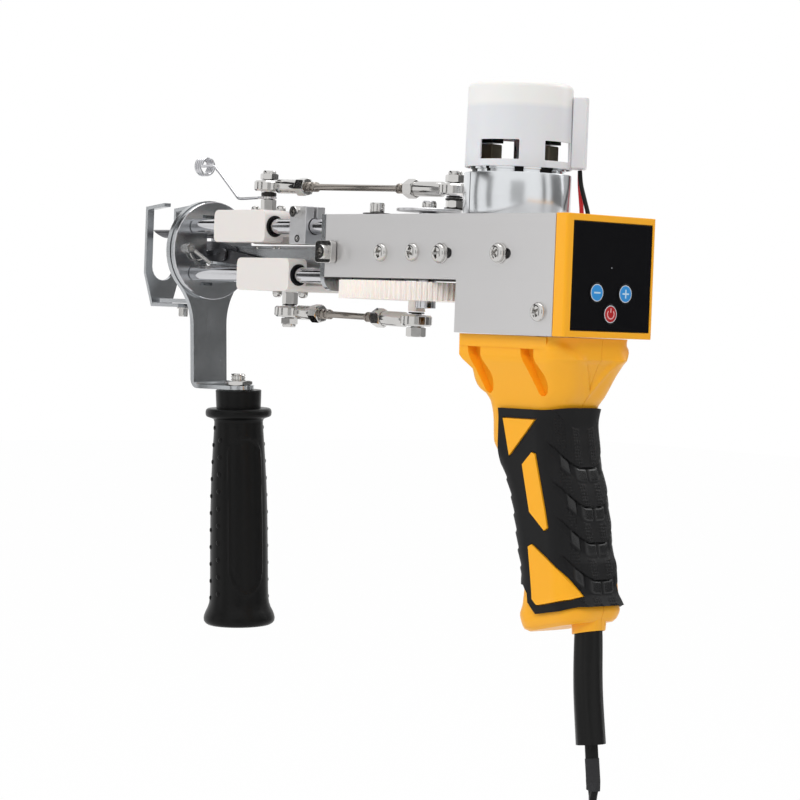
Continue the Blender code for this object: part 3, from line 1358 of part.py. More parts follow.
# Pistol grip
GRIP_HEIGHT = 0.1290
GRIP_FRONT = 0.065
GRIP_REAR = 0.030
GRIP_WIDTH = 0.047
GRIP_FRONT_RADIUS = 0.010
GRIP_REAR_RADIUS = 0.013
GRIP_BASE_TILT_DEG = 13.0
TILT_START_SHARE = 0.40
TILT_END_SHARE = 0.85
GRIP_SECTION_SHARES = [
    # height downwards, front and rear reach from the rear edge of the plates, width, front and rear radius
    (0.000, 1.010, 0.192, 1.000, 0.12, 1.00),
    (0.076, 1.006, 0.196, 1.000, 0.12, 1.00),
    (0.092, 0.980, 0.135, 0.985, 0.16, 1.00),
    (0.125, 0.915, 0.065, 0.920, 0.40, 1.00),
    (0.160, 0.925, 0.000, 0.860, 0.55, 0.98),
    (0.190, 0.915, -0.062, 0.815, 0.70, 0.94),
    (0.210, 0.860, -0.105, 0.785, 0.85, 0.92),
    (0.245, 0.829, -0.205, 0.745, 1.00, 0.92),
    (0.300, 0.815, -0.225, 0.705, 1.00, 0.92),
    (0.375, 0.805, -0.171, 0.700, 1.00, 0.92),
    (0.440, 0.710, -0.114, 0.700, 1.00, 0.92),
    (0.505, 0.622, -0.015, 0.700, 1.00, 0.92),
    (0.570, 0.560, 0.065, 0.700, 1.00, 0.92),
    (0.700, 0.486, 0.176, 0.700, 1.00, 0.92),
    (0.825, 0.428, 0.265, 0.705, 1.00, 0.92),
    (0.900, 0.435, 0.312, 0.720, 1.00, 0.92),
    (0.930, 0.450, 0.372, 0.740, 1.00, 0.92),
    (0.960, 0.430, 0.430, 0.750, 1.00, 0.92),
    (0.990, 0.405, 0.395, 0.690, 0.90, 0.85),
    (1.000, 0.370, 0.365, 0.620, 0.80, 0.80),
]
PARTING_GAP = 0.0001
RUBBER_THICKNESS = 0.0014
RUBBER_TOP_SHARE = 0.215
RUBBER_BASE_SHARE = 0.965
RUBBER_OUTLINE_SHARES = [
    # the cheek's outline as shares of the grip's height downwards and of its front reach from the rear edge
    (0.262, 0.654), (0.260, 0.200), (0.256, 0.140), (0.249, 0.071), (0.238, 0.000), (0.232, -0.065),
    (0.230, -0.400), (0.927, -0.400), (0.927, -0.165), (0.974, 0.177), (0.940, 0.269), (0.908, 0.283),
    (0.882, 0.337), (0.872, 0.900), (0.455, 0.900), (0.455, 0.654),
]
BOSS_RADIUS = 0.0079
BOSS_HEIGHT = 0.0041
BOSS_SETBACK = 0.0040
BOSS_BORE_DEPTH = 0.0040
FRONT_POCKET_SETBACK = 0.0587
REAR_POCKET_SETBACK = 0.0230
POCKET_DEPTH = 0.0050
POCKET_WIDTH = 0.0086
POCKET_FOOT_WIDTH = 0.0055
POCKET_TOP = 0.0062
POCKET_KNEE = 0.0105
POCKET_LEAN = 0.0097
POCKET_LENGTH = 0.0250


def grip_tilt(height):
    """How far the grip's section leans up towards the rear, as a slope: level above, full at its foot."""
    share = (height - TILT_START_SHARE) / (TILT_END_SHARE - TILT_START_SHARE)
    share = min(1.0, max(0.0, share))
    return math.tan(math.radians(GRIP_BASE_TILT_DEG)) * share * share * (3 - 2 * share)


def grip_ring(row, grow=0.0):
    """One level of the grip: a rectangle rounded a little in front and a lot behind."""
    height, front, rear, width, front_round, rear_round = row
    x = (REAR_X - GRIP_FRONT * front - grow, REAR_X + GRIP_REAR * rear + grow)
    half = GRIP_WIDTH * width / 2 + grow
    front_radius = GRIP_FRONT_RADIUS * front_round + grow
    rear_radius = GRIP_REAR_RADIUS * rear_round + grow
    radii = (front_radius, rear_radius, rear_radius, front_radius)
    z = BASE_Z - SEAT - GRIP_HEIGHT * height
    tilt, pivot = grip_tilt(height), REAR_X + BOSS_SETBACK
    return [Vector((u, v, z + tilt * (u - pivot))) for u, v in rounded_box(x, (-half, half), radii, 6)]


def row_at(height):
    """The grip's section between two rows of the table."""
    rows = GRIP_SECTION_SHARES
    for first, second in zip(rows, rows[1:]):
        if first[0] <= height <= second[0]:
            share = (height - first[0]) / (second[0] - first[0])
            return tuple(a + (b - a) * share for a, b in zip(first, second))
    return rows[-1]


def build_grip_shells():
    """The two halves of the grip, split along the middle, with the cable's boss under them."""
    rings = [grip_ring(row) for row in GRIP_SECTION_SHARES]
    bottom = BASE_Z - SEAT - GRIP_HEIGHT
    centre = (REAR_X + BOSS_SETBACK, 0)
    mouth = bottom - BOSS_HEIGHT
    far = GRIP_WIDTH
    span = (REAR_X - GRIP_FRONT - far, REAR_X + GRIP_REAR + far)
    levels = (mouth - far, BASE_Z + OVERRUN)
    for side, name in ((-1, "grip_shell_left"), (1, "grip_shell_right")):
        shell = loft(name, rings, YELLOW_SHELL)
        boss = cylinder(
            f"{name}_boss", "Z", centre, BOSS_RADIUS, mouth, bottom + BOSS_HEIGHT, YELLOW_SHELL, SMALL_ROUND
        )
        bore_radius = SLEEVE_RADIUS + SEAT
        bore = cylinder(
            f"{name}_bore", "Z", centre, bore_radius, mouth - OVERRUN, mouth + BOSS_BORE_DEPTH, YELLOW_SHELL,
            SMALL_ROUND,
        )
        for piece in (boss, bore):
            for point in piece.data.vertices:
                point.co.z += grip_tilt(1.0) * (point.co.x - centre[0])
        join(shell, boss)
        cut(shell, bore)
        for place, setback in (("front", FRONT_POCKET_SETBACK), ("rear", REAR_POCKET_SETBACK)):
            pocket = pocket_shape(side, setback)
            cut(shell, loft(f"{name}_{place}_pocket", pocket, YELLOW_SHELL))
        edges = (-PARTING_GAP / 2, far) if side < 0 else (-far, PARTING_GAP / 2)
        cut(shell, block(f"{name}_parting", span, edges, levels, YELLOW_SHELL))


def pocket_shape(side, setback):
    """A pocket in the grip's cheek: straight down to a knee, then leaning back and narrowing to its foot."""
    outer = side * (GRIP_WIDTH / 2 + OVERRUN)
    floor = side * (GRIP_WIDTH / 2 - POCKET_DEPTH)
    foot_floor = side * (GRIP_WIDTH / 2 - POCKET_DEPTH - POCKET_LEAN / 3)
    x = REAR_X - setback
    foot = x + POCKET_LEAN
    rows = [
        (x, POCKET_WIDTH, floor, BASE_Z - POCKET_TOP),
        (x, POCKET_WIDTH, floor, BASE_Z - POCKET_KNEE),
        (foot, POCKET_FOOT_WIDTH, foot_floor, BASE_Z - POCKET_LENGTH),
    ]
    return [
        [Vector((u, v, z)) for u, v in ((low, outer), (low + width, outer), (low + width, deep), (low, deep))]
        for low, width, deep, z in rows
    ]


# Windows in the rubber: corners as shares of the grip's height downwards and of its length from the rear edge
WINDOW_SHARES = {
    "upper_triangle": [(0.289, 0.599), (0.288, 0.254), (0.420, 0.516)],
    "middle_band": [
        (0.400, 0.287), (0.407, 0.249), (0.599, 0.126), (0.658, 0.095), (0.671, 0.131), (0.611, 0.291),
        (0.448, 0.385),
    ],
    "lower_triangle": [(0.732, 0.292), (0.721, 0.251), (0.880, -0.160), (0.931, 0.171), (0.913, 0.229)],
}


def cheek_outline(shares):
    """Corners on the grip's cheek, from shares of its height downwards and of its front reach."""
    return [(REAR_X - GRIP_FRONT * x, BASE_Z - GRIP_HEIGHT * z) for z, x in shares]


def build_rubber_grip():
    """The soft overmould round the grip, with the windows that show the yellow shell."""
    heights = [RUBBER_TOP_SHARE]
    heights += [row[0] for row in GRIP_SECTION_SHARES if RUBBER_TOP_SHARE < row[0] < RUBBER_BASE_SHARE]
    heights.append(RUBBER_BASE_SHARE)
    mesh = bmesh.new()
    skins = []
    for grow in (SEAT, SEAT + RUBBER_THICKNESS):
        skins.append([[mesh.verts.new(point) for point in grip_ring(row_at(h), grow)] for h in heights])
    count = len(skins[0][0])
    for rings in skins:
        for first, second in zip(rings, rings[1:]):
            for i in range(count):
                j = (i + 1) % count
                mesh.faces.new((first[i], first[j], second[j], second[i]))
    for level in (0, -1):
        inner, outer = skins[0][level], skins[1][level]
        for i in range(count):
            j = (i + 1) % count
            mesh.faces.new((inner[i], inner[j], outer[j], outer[i]))
    rubber = solid("rubber_grip", mesh, BLACK_RUBBER)
    far = GRIP_WIDTH
    outline = prism("rubber_outline", cheek_outline(RUBBER_OUTLINE_SHARES), "Y", -far, far, BLACK_RUBBER)
    combine(rubber, outline, "INTERSECT")
    near = GRIP_WIDTH / 6
    for name, corners in WINDOW_SHARES.items():
        for side in (-1, 1):
            faces = sorted((side * near, side * far))
            window = prism(
                f"{name}_{side + 1}", cheek_outline(corners), "Y", faces[0], faces[1], BLACK_RUBBER
            )
            cut(rubber, window)


# Mains lead: straight down out of the sleeve, then a hank that hangs on it
SLEEVE_RADIUS = 0.0066
SLEEVE_LENGTH = 0.0525
SLEEVE_LEAN = 0.0045
LEAD_WIDTH = 0.006
HANK_INNER_RADIUS = 0.018
HANK_RUN = 0.095
HANK_STEP = 0.0073
HANK_LAYER = 0.0068
HANK_LOOPS = 4
HANK_WAIST_GAP = 0.0010
HANK_TOP_DROP = 0.0760
LOOP_POINTS = 24
PLUG_RADIUS = 0.0052
PLUG_LENGTH = 0.0360
PLUG_TIP_RADIUS = 0.00275
PLUG_TIP_LENGTH = 0.0095


def smooth_path(knots, spacing):
    """Points read off a smooth curve through the knots, about one spacing apart."""
    ends = [2 * knots[0] - knots[1]] + list(knots) + [2 * knots[-1] - knots[-2]]
    points = []
    for a, b, c, d in zip(ends, ends[1:], ends[2:], ends[3:]):
        steps = max(2, round((c - b).length / spacing))
        for i in range(steps):
            t = i / steps
            points.append(
                (2 * b + (c - a) * t + (2 * a - 5 * b + 4 * c - d) * t**2 + (3 * b - a - 3 * c + d) * t**3) / 2
            )
    return points + [knots[-1]]


def sleeve_ends():
    x = REAR_X + BOSS_SETBACK
    top = BASE_Z - SEAT - GRIP_HEIGHT - BOSS_HEIGHT + BOSS_BORE_DEPTH - grip_tilt(1.0) * SLEEVE_RADIUS - SEAT
    return Vector((x, 0, top)), Vector((x + SLEEVE_LEAN, 0, top - SLEEVE_LENGTH))


def hank_centre():
    end = sleeve_ends()[1]
    return Vector((end.x, 0, end.z - HANK_TOP_DROP - HANK_INNER_RADIUS - HANK_RUN / 2))


def hank_point(turn):
    """A point on the hank. One turn goes down the right run, round the foot, up the left and over the top."""
    centre = hank_centre()
    half_loops = HANK_LOOPS / 2
    inward = abs(turn - half_loops)
    grow = HANK_STEP * inward
    climb = max(-1.0, min(1.0, (turn - half_loops) * 4))
    y = HANK_LAYER / 2 * climb
    pinch = HANK_INNER_RADIUS - LEAD_WIDTH / 2 - HANK_WAIST_GAP / 2
    phase = (turn % 1.0) * 4
    leg = phase % 1.0
    side = 1 if phase < 2 else -1
    if int(phase) in (0, 2):
        z = side * HANK_RUN * (0.5 - leg)
        waist = pinch * (1 + math.cos(2 * math.pi * z / HANK_RUN)) / 2
        x = side * (HANK_INNER_RADIUS - waist + grow)
    else:
        angle = math.pi * leg
        reach = HANK_INNER_RADIUS + grow
        x = side * reach * math.cos(angle)
        z = -side * (HANK_RUN / 2 + reach * math.sin(angle))
    return centre + Vector((x, y, z))


def build_cable():
    """The sleeve, the free lead down to the hank, the hank's unbroken loops and the plug beside them."""
    top, bottom = sleeve_ends()
    middle = (top + bottom) / 2 + Vector((-SLEEVE_LEAN / 4, 0, 0))
    wire(
        "cable_sleeve", smooth_path([top, middle, bottom], SLEEVE_LENGTH / 8), SLEEVE_RADIUS, BLACK_RUBBER, 4
    )
    leave = (bottom - middle).normalized()
    start = hank_point(0)
    enter = (hank_point(1 / LOOP_POINTS) - start).normalized()
    knots = [
        bottom + leave * (SEAT + LEAD_WIDTH),
        bottom + leave * LEAD_WIDTH * 3,
        Vector((bottom.x + HANK_STEP / 2, 0, bottom.z - LEAD_WIDTH * 6)),
        start + Vector((-HANK_STEP * 2, HANK_LAYER / 6, LEAD_WIDTH * 6)),
        start - enter * LEAD_WIDTH * 3,
        start - enter * (SEAT + LEAD_WIDTH),
    ]
    path = [bottom + leave * SEAT] + smooth_path(knots, LEAD_WIDTH * 2) + [start - enter * SEAT]
    wire("cable_lead", path, LEAD_WIDTH / 2, BLACK_RUBBER, 2)
    count = LOOP_POINTS * HANK_LOOPS
    points = [hank_point(i / LOOP_POINTS) for i in range(count + 1)]
    aside = PLUG_RADIUS + LEAD_WIDTH
    plug_top = points[-1] + Vector((aside, 0, -LEAD_WIDTH * 8))
    tail = smooth_path(
        [
            points[-1], points[-1] + Vector((LEAD_WIDTH / 2, 0, -LEAD_WIDTH * 2)),
            plug_top + Vector((0, 0, LEAD_WIDTH * 2)), plug_top,
        ],
        LEAD_WIDTH * 2,
    )
    wire("cable_hank", points + tail[1:], LEAD_WIDTH / 2, BLACK_RUBBER, 1)
    head = plug_top.z - SEAT
    foot = head - PLUG_LENGTH
    profile = [
        (LEAD_WIDTH / 2, head, 0),
        (PLUG_RADIUS, head - PLUG_LENGTH / 3, 0),
        (PLUG_RADIUS, foot, 0),
        (PLUG_TIP_RADIUS, foot, 0),
        (PLUG_TIP_RADIUS, foot - PLUG_TIP_LENGTH, 0),
    ]
    turned("cable_plug", profile, "Z", (plug_top.x, plug_top.y), BLACK_PLASTIC, SMALL_ROUND)
    return points + tail[1:]


def least_gap(points, width):
    """The smallest gap between two stretches of one cord that lie more than a bend apart."""
    least = math.inf
    skip = LOOP_POINTS // 3
    for i, first in enumerate(points):
        for j in range(i + skip, len(points) - 1):
            a, b = points[j], points[j + 1]
            run = b - a
            share = max(0.0, min(1.0, (first - a).dot(run) / run.length_squared))
            least = min(least, (first - (a + run * share)).length)
    return least - width


build_side_plates()
build_deck()
build_front_plate()
build_inner_blocks()
build_rear_cover()
build_motor()
build_drive()
build_head()
build_guide_rods()
build_rod_clamp()
build_side_clamp()
needle_block = build_sliding_block("upper")
scissor_block = build_sliding_block("lower")
bore_for_needle(needle_block, build_needle())
build_cam_pin(scissor_block)
for part_level in ("upper", "lower"):
    build_wrist_bolt(part_level)
    build_connecting_rod(part_level)
build_yarn_guide()
build_scissors()
build_foot_arm()
build_presser_foot()
build_hand_lever()
build_grip_shells()
build_rubber_grip()
hank = build_cable()
length = sum((b - a).length for a, b in zip(hank, hank[1:]))
print(
    f"hank and tail: {length:.3f} m of lead, least gap to itself {1000 * least_gap(hank, LEAD_WIDTH):.2f} mm"
)
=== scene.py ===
# %% [markdown]
# # A handheld tufting machine
#
# The machine drives a hollow needle and a scissor blade through stretched cloth. This lesson dresses a solid
# model of it: the solids arrive as a fixed frame in metres, and each surface gets its finish, its small
# fasteners and its fine forms. The frame is loaded first, because every later piece is placed against it.

# %% Load the frame
import json
import math

import bmesh
import bpy
from mathutils import Matrix, Vector


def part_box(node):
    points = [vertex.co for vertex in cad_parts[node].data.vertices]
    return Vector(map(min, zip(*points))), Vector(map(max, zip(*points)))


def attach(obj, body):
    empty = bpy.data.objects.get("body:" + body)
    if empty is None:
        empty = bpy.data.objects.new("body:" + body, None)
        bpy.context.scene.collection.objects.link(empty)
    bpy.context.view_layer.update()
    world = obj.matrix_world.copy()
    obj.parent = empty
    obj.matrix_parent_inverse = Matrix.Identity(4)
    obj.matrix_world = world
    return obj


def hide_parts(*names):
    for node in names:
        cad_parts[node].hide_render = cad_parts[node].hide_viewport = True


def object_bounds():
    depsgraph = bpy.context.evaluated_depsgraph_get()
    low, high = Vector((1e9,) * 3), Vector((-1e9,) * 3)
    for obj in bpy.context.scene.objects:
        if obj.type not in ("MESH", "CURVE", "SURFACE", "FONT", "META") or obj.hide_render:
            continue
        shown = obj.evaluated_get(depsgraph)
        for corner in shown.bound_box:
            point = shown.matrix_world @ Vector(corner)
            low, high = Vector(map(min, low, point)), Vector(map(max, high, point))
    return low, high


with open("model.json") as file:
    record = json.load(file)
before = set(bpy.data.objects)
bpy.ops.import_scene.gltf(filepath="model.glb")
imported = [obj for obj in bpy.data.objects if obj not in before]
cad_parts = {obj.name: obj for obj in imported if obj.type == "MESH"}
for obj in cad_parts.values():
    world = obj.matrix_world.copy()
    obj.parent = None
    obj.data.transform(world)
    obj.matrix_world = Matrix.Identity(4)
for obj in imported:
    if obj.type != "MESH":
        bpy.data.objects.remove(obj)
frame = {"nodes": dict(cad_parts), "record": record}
cad_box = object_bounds()
nodes = frame["nodes"]
print(len(nodes), "solids, box", [tuple(round(value, 4) for value in corner) for corner in cad_box])

# %% [markdown]
# ## The camera
#
# The photograph was taken from behind and to the left with a long lens, almost level and leaning a little.
# Its place was worked out from edges of known length, so the camera is set by its own axes rather than aimed
# by eye.

# %% Place the camera
MM = 0.001
CAMERA_PLACE = Vector((0.8816, -0.8631, 0.0717))
CAMERA_RIGHT = Vector((0.65472, 0.75493, 0.03785))
CAMERA_UP = Vector((-0.04787, -0.00855, 0.99881))
CAMERA_BACK = CAMERA_RIGHT.cross(CAMERA_UP).normalized()
LENS_MM = 120.8


def new_object(name, data):
    """An object that holds the data and is part of the scene."""
    made = bpy.data.objects.new(name, data)
    bpy.context.scene.collection.objects.link(made)
    return made


bpy.context.scene.view_settings.view_transform = "Standard"
camera = new_object("photo_camera", bpy.data.cameras.new("photo_camera"))
camera.data.lens = LENS_MM
camera.data.sensor_width = 36
camera.data.clip_end = 20
axes = Matrix((CAMERA_RIGHT, CAMERA_UP, CAMERA_BACK)).transposed().to_4x4()
camera.matrix_world = Matrix.Translation(CAMERA_PLACE) @ axes
bpy.context.scene.camera = camera
print("camera", round(CAMERA_PLACE.length, 3), "m from the hand grip")

# %% [markdown]
# ## Node trees in few words
#
# Materials and Geometry Nodes are both trees of nodes joined by links. One helper adds a node, sets its plain
# properties, and either fills or links each input that is named, so that a whole tree reads like a recipe.

# %% Helpers that add nodes


def feed(tree, made, key, value):
    """Links an input to a node or socket, or fills it with a plain value."""
    if isinstance(value, bpy.types.Node):
        value = value.outputs[0]
    if isinstance(value, bpy.types.NodeSocket):
        tree.links.new(value, made.inputs[key])
    elif value is not None:
        made.inputs[key].default_value = value


def add(tree, kind, *feeds, **given):
    """Adds a node. Feeds go to its inputs in order, and named values to its properties or inputs."""
    made = tree.nodes.new(kind)
    for key, value in enumerate(feeds):
        feed(tree, made, key, value)
    for key, value in given.items():
        if hasattr(made, key):
            setattr(made, key, value)
        else:
            feed(tree, made, key.replace("_", " "), value)
    return made


def calc(tree, operation, first, second):
    return add(tree, "ShaderNodeMath", first, second, operation=operation)


def mix_colours(tree, share, first, second):
    mixed = add(tree, "ShaderNodeMix", data_type="RGBA")
    for key, value in ((0, share), (6, first), (7, second)):
        feed(tree, mixed, key, value)
    return mixed.outputs[2]


# %% [markdown]
# ## Studio light
#
# A product photograph on white uses large soft lamps. Polished steel shows whatever stands round it, so a few
# dark cards are put outside the camera's view: they draw the dark streaks that make bright metal read as
# metal. The world is white to the camera and to reflections, and gives a lower, even light to everything
# else.

# %% World, lamps, cards and floor


def seen_directly(tree):
    """The rays' own outputs, and 1 for those that come from the camera or a reflection."""
    rays = add(tree, "ShaderNodeLightPath").outputs
    return rays, calc(tree, "MAXIMUM", rays["Is Camera Ray"], rays["Is Glossy Ray"])


def build_world():
    world = bpy.data.worlds.new("studio_world")
    world.use_nodes = True
    tree = world.node_tree
    tree.nodes.clear()
    rays, seen = seen_directly(tree)
    every = calc(tree, "MAXIMUM", seen, rays["Is Transmission Ray"])
    strength = add(tree, "ShaderNodeMapRange", every, 0.0, 1.0, 0.42, 1.0)
    light = add(tree, "ShaderNodeBackground", (1.0, 1.0, 1.0, 1.0), strength)
    add(tree, "ShaderNodeOutputWorld", light)
    bpy.context.scene.world = world


def aimed(direction, ahead="Z", up="Y"):
    """A turn that points one axis along a direction."""
    return Vector(direction).normalized().to_track_quat(ahead, up).to_matrix().to_4x4()


def build_lamp(name, place, aim, size, watts):
    data = bpy.data.lights.new(name, "AREA")
    data.shape = "RECTANGLE"
    data.size, data.size_y = size
    data.energy = watts
    lamp = new_object(name, data)
    lamp.matrix_world = Matrix.Translation(place) @ aimed(Vector(aim) - Vector(place), "-Z")
    return lamp


SQUARE = ((-1, -1), (1, -1), (1, 1), (-1, 1))


def plain_sheet(name, place, aim, size, material):
    """A flat card that faces a point."""
    mesh = bpy.data.meshes.new(name)
    mesh.from_pydata([(i * size[0] / 2, j * size[1] / 2, 0) for i, j in SQUARE], [], [(0, 1, 2, 3)])
    mesh.materials.append(material)
    made = new_object(name, mesh)
    made.matrix_world = Matrix.Translation(place) @ aimed(Vector(aim) - Vector(place))
    return made


def new_material(name):
    """A fresh material with its tree and its shader."""
    material = bpy.data.materials.new(name)
    material.use_nodes = True
    return material, material.node_tree, material.node_tree.nodes["Principled BSDF"]


def plain_colour(name, value):
    material, tree, shader = new_material(name)
    shader.inputs["Base Color"].default_value = (value, value, value, 1)
    shader.inputs["Roughness"].default_value = 0.9
    return material


def build_floor(height):
    """A pale floor that turns white where no shadow falls on it."""
    material = plain_colour("studio_floor", 0.9)
    tree = material.node_tree
    rays, seen = seen_directly(tree)
    glow = add(tree, "ShaderNodeEmission", (1.0, 1.0, 1.0, 1.0), 1.0)
    share = calc(tree, "MULTIPLY", seen, 0.985)
    mix = add(tree, "ShaderNodeMixShader", share, tree.nodes["Principled BSDF"], glow)
    feed(tree, tree.nodes["Material Output"], "Surface", mix)
    plain_sheet("studio_floor", (0, 0, height), (0, 0, 1), (12, 12), material)


build_world()
key = build_lamp("key_lamp", (1.1, -1.5, 1.5), (-0.12, 0, 0.08), (1.1, 1.1), 21.5)
fill = build_lamp("fill_lamp", (-1.5, -1.3, 0.7), (-0.15, 0, 0.05), (1.0, 1.4), 10)
key.visible_glossy = fill.visible_glossy = False
build_lamp("top_lamp", (-0.1, 0.2, 1.9), (-0.12, 0, 0), (1.6, 0.9), 14)
build_lamp("rim_lamp", (0.5, 1.7, 0.9), (-0.1, 0, 0.05), (0.8, 1.4), 8)
for name, place, size, tone in (
    ("card_left", (-1.03, -0.77, 0.25), (0.20, 1.4), 0.01),
    ("card_over", (-1.05, -0.68, 0.82), (1.7, 0.34), 0.01),
    ("card_front", (-0.38, -1.24, 0.1), (0.30, 1.4), 0.36),
    ("card_behind", (1.15, -1.1, 0.1), (0.84, 1.4), 0.60),
    ("card_low", (0.35, -0.75, -0.62), (1.6, 0.35), 0.01),
    ("card_right", (1.05, 0.30, 0.15), (0.16, 1.3), 0.01),
    ("card_far", (0.72, 0.92, 0.05), (0.75, 1.5), 0.15),
    ("card_back", (0.0, 1.25, 0.05), (0.80, 1.4), 0.36),
):
    card = plain_sheet(name, place, (-0.1, 0, 0.08), size, plain_colour(name, tone))
    card.visible_camera = card.visible_diffuse = card.visible_shadow = False
build_floor(cad_box[0].z - 2 * MM)

# %% [markdown]
# ## Finishes
#
# Each finish starts from the shader's plain values and adds what the real surface has: a drift of tone over
# centimetres, a finer grain that changes the gloss, and a relief that bends the light. All of it is laid on
# Object coordinates, so it stays put on a piece from any side. A brushed or rolled sheet gets the same grain,
# stretched.

# %% One recipe for every finish


def finish(
    name, colour, rough, metal=0.0, drift=0.06, cloud=25.0, grain=900.0, relief=0.02, gloss_drift=0.06,
    stretch=(1, 1, 1), **sockets
):
    """A Principled material with a drifting tone, a gloss that follows a grain, and a fine relief."""
    material, tree, shader = new_material(name)
    place = add(tree, "ShaderNodeTexCoord").outputs["Object"]
    laid_out = add(tree, "ShaderNodeMapping", place, Scale=stretch)
    wide = add(tree, "ShaderNodeTexNoise", laid_out, Scale=cloud, Detail=4.0, Roughness=0.6).outputs["Fac"]
    fine = add(tree, "ShaderNodeTexNoise", laid_out, Scale=grain, Detail=3.0, Roughness=0.7).outputs["Fac"]
    dark = [value * (1 - drift) for value in colour] + [1]
    light = [min(1, value * (1 + drift)) for value in colour] + [1]
    feed(tree, shader, "Base Color", mix_colours(tree, wide, dark, light))
    both = calc(tree, "ADD", wide, fine)
    least = max(0.02, rough - gloss_drift)
    feed(tree, shader, "Roughness", add(tree, "ShaderNodeMapRange", both, 0.6, 1.4, least, rough + gloss_drift))
    for key, value in (("Metallic", metal), *sockets.items()):
        shader.inputs[key.replace("_", " ")].default_value = value
    if relief:
        feed(tree, shader, "Normal", add(tree, "ShaderNodeBump", Strength=0.6, Distance=relief * MM, Height=fine))
    return material


MILKY = {"Subsurface_Weight": 0.15, "Subsurface_Scale": 0.002}
MILKIER = {"Subsurface_Weight": 0.2, "Subsurface_Scale": 0.002}
THIN_MILKY = {"Subsurface_Weight": 0.05, "Subsurface_Scale": 0.001}
ROLLED_SHEET = finish(
    "rolled_sheet", (0.76, 0.75, 0.75), 0.38, 0.9, grain=700, relief=0.01, gloss_drift=0.05, stretch=(0.04, 1, 1)
)
PLATED = finish("plated_steel", (0.47, 0.485, 0.50), 0.22, 1.0, 0.10, cloud=60, relief=0.012)
POLISHED = finish("polished_steel", (0.60, 0.60, 0.62), 0.10, 1.0, 0.05, relief=0.004, gloss_drift=0.04)
BRIGHT = finish("bright_plate", (0.60, 0.59, 0.575), 0.10, 1.0, 0.08, 120, relief=0.008, gloss_drift=0.04)
MILLED = finish("milled_aluminium", (0.66, 0.66, 0.67), 0.33, 0.95, 0.08, cloud=200, relief=0.03)
BLADE = finish("ground_blade", (0.16, 0.16, 0.17), 0.30, 1.0, 0.12, stretch=(0.1, 1, 1), relief=0.01)
BAR_STEEL = finish("drawn_bar", (0.34, 0.31, 0.28), 0.22, 1.0, 0.08, stretch=(0.08, 1, 1), relief=0.008)
BLACK_OXIDE = finish("black_oxide", (0.035, 0.033, 0.032), 0.30, 0.8, 0.15, relief=0.01)
RING_STEEL = finish("ring_steel", (0.74, 0.76, 0.78), 0.21, 1.0, 0.05, 60, 200, relief=0, gloss_drift=0.03)
BRUSH_BROWN = finish("brush_holder", (0.17, 0.145, 0.095), 0.45, 0.3, 0.12)
WHITE_NYLON = finish("white_nylon", (0.79, 0.75, 0.72), 0.45, drift=0.02, relief=0.015, **MILKY)
GEAR_NYLON = finish("gear_nylon", (0.97, 0.91, 0.86), 0.46, drift=0.02, **MILKIER)
WHITE_CAP = finish("white_cap", (0.76, 0.76, 0.78), 0.34, drift=0.015, relief=0.008, **MILKY)
YELLOW = finish(
    "yellow_moulding", (0.98, 0.44, 0.015), 0.36, drift=0.025, grain=2200, relief=0.012,
    Specular_IOR_Level=0.35, **THIN_MILKY
)
RUBBER = finish(
    "black_overmould", (0.007, 0.007, 0.0075), 0.50, drift=0.15, grain=2600, relief=0.03, gloss_drift=0.08,
    Specular_IOR_Level=0.15
)
HARD_BLACK = finish(
    "black_moulding", (0.005, 0.005, 0.005), 0.34, drift=0.12, grain=3000, relief=0.014, Specular_IOR_Level=0.14
)
PANEL_FILM = finish(
    "panel_film", (0.004, 0.004, 0.005), 0.22, drift=0.1, grain=3500, relief=0.006, Specular_IOR_Level=0.13
)
BLACK_SKIN = finish("cord_skin", (0.006, 0.006, 0.006), 0.36, drift=0.1, grain=2500, Specular_IOR_Level=0.2)
CLOTH = finish(
    "woven_cloth", (0.035, 0.035, 0.037), 0.85, drift=0.25, cloud=1400, grain=5200, relief=0.12,
    Specular_IOR_Level=0.2
)
KEY_BLUE = finish("key_blue", (0.025, 0.27, 0.66), 0.32, drift=0.03, relief=0.006)
KEY_RED = finish("key_red", (0.42, 0.005, 0.008), 0.30, drift=0.03, relief=0.006)
LEAD_RED = finish("red_insulation", (0.60, 0.01, 0.015), 0.35, drift=0.05, relief=0.01)
BOARD = finish("green_board", (0.02, 0.14, 0.05), 0.4, drift=0.15)
PALE_PRINT = finish("pale_print", (0.62, 0.66, 0.70), 0.4, drift=0.02, relief=0)
SIGN_PRINT = finish("sign_print", (0.50, 0.70, 0.85), 0.4, drift=0.02, relief=0)
ROSE_PRINT = finish("rose_print", (0.80, 0.45, 0.45), 0.4, drift=0.02, relief=0)
print(len(bpy.data.materials), "materials")

# %% [markdown]
# ## Dressing the solids
#
# A real edge is never knife sharp: it carries a small radius that catches a line of light. Each hard solid
# keeps its own mesh and gets a Bevel modifier by angle, with the size that its making leaves: a sheared sheet
# stays crisp, a moulding is rounder.

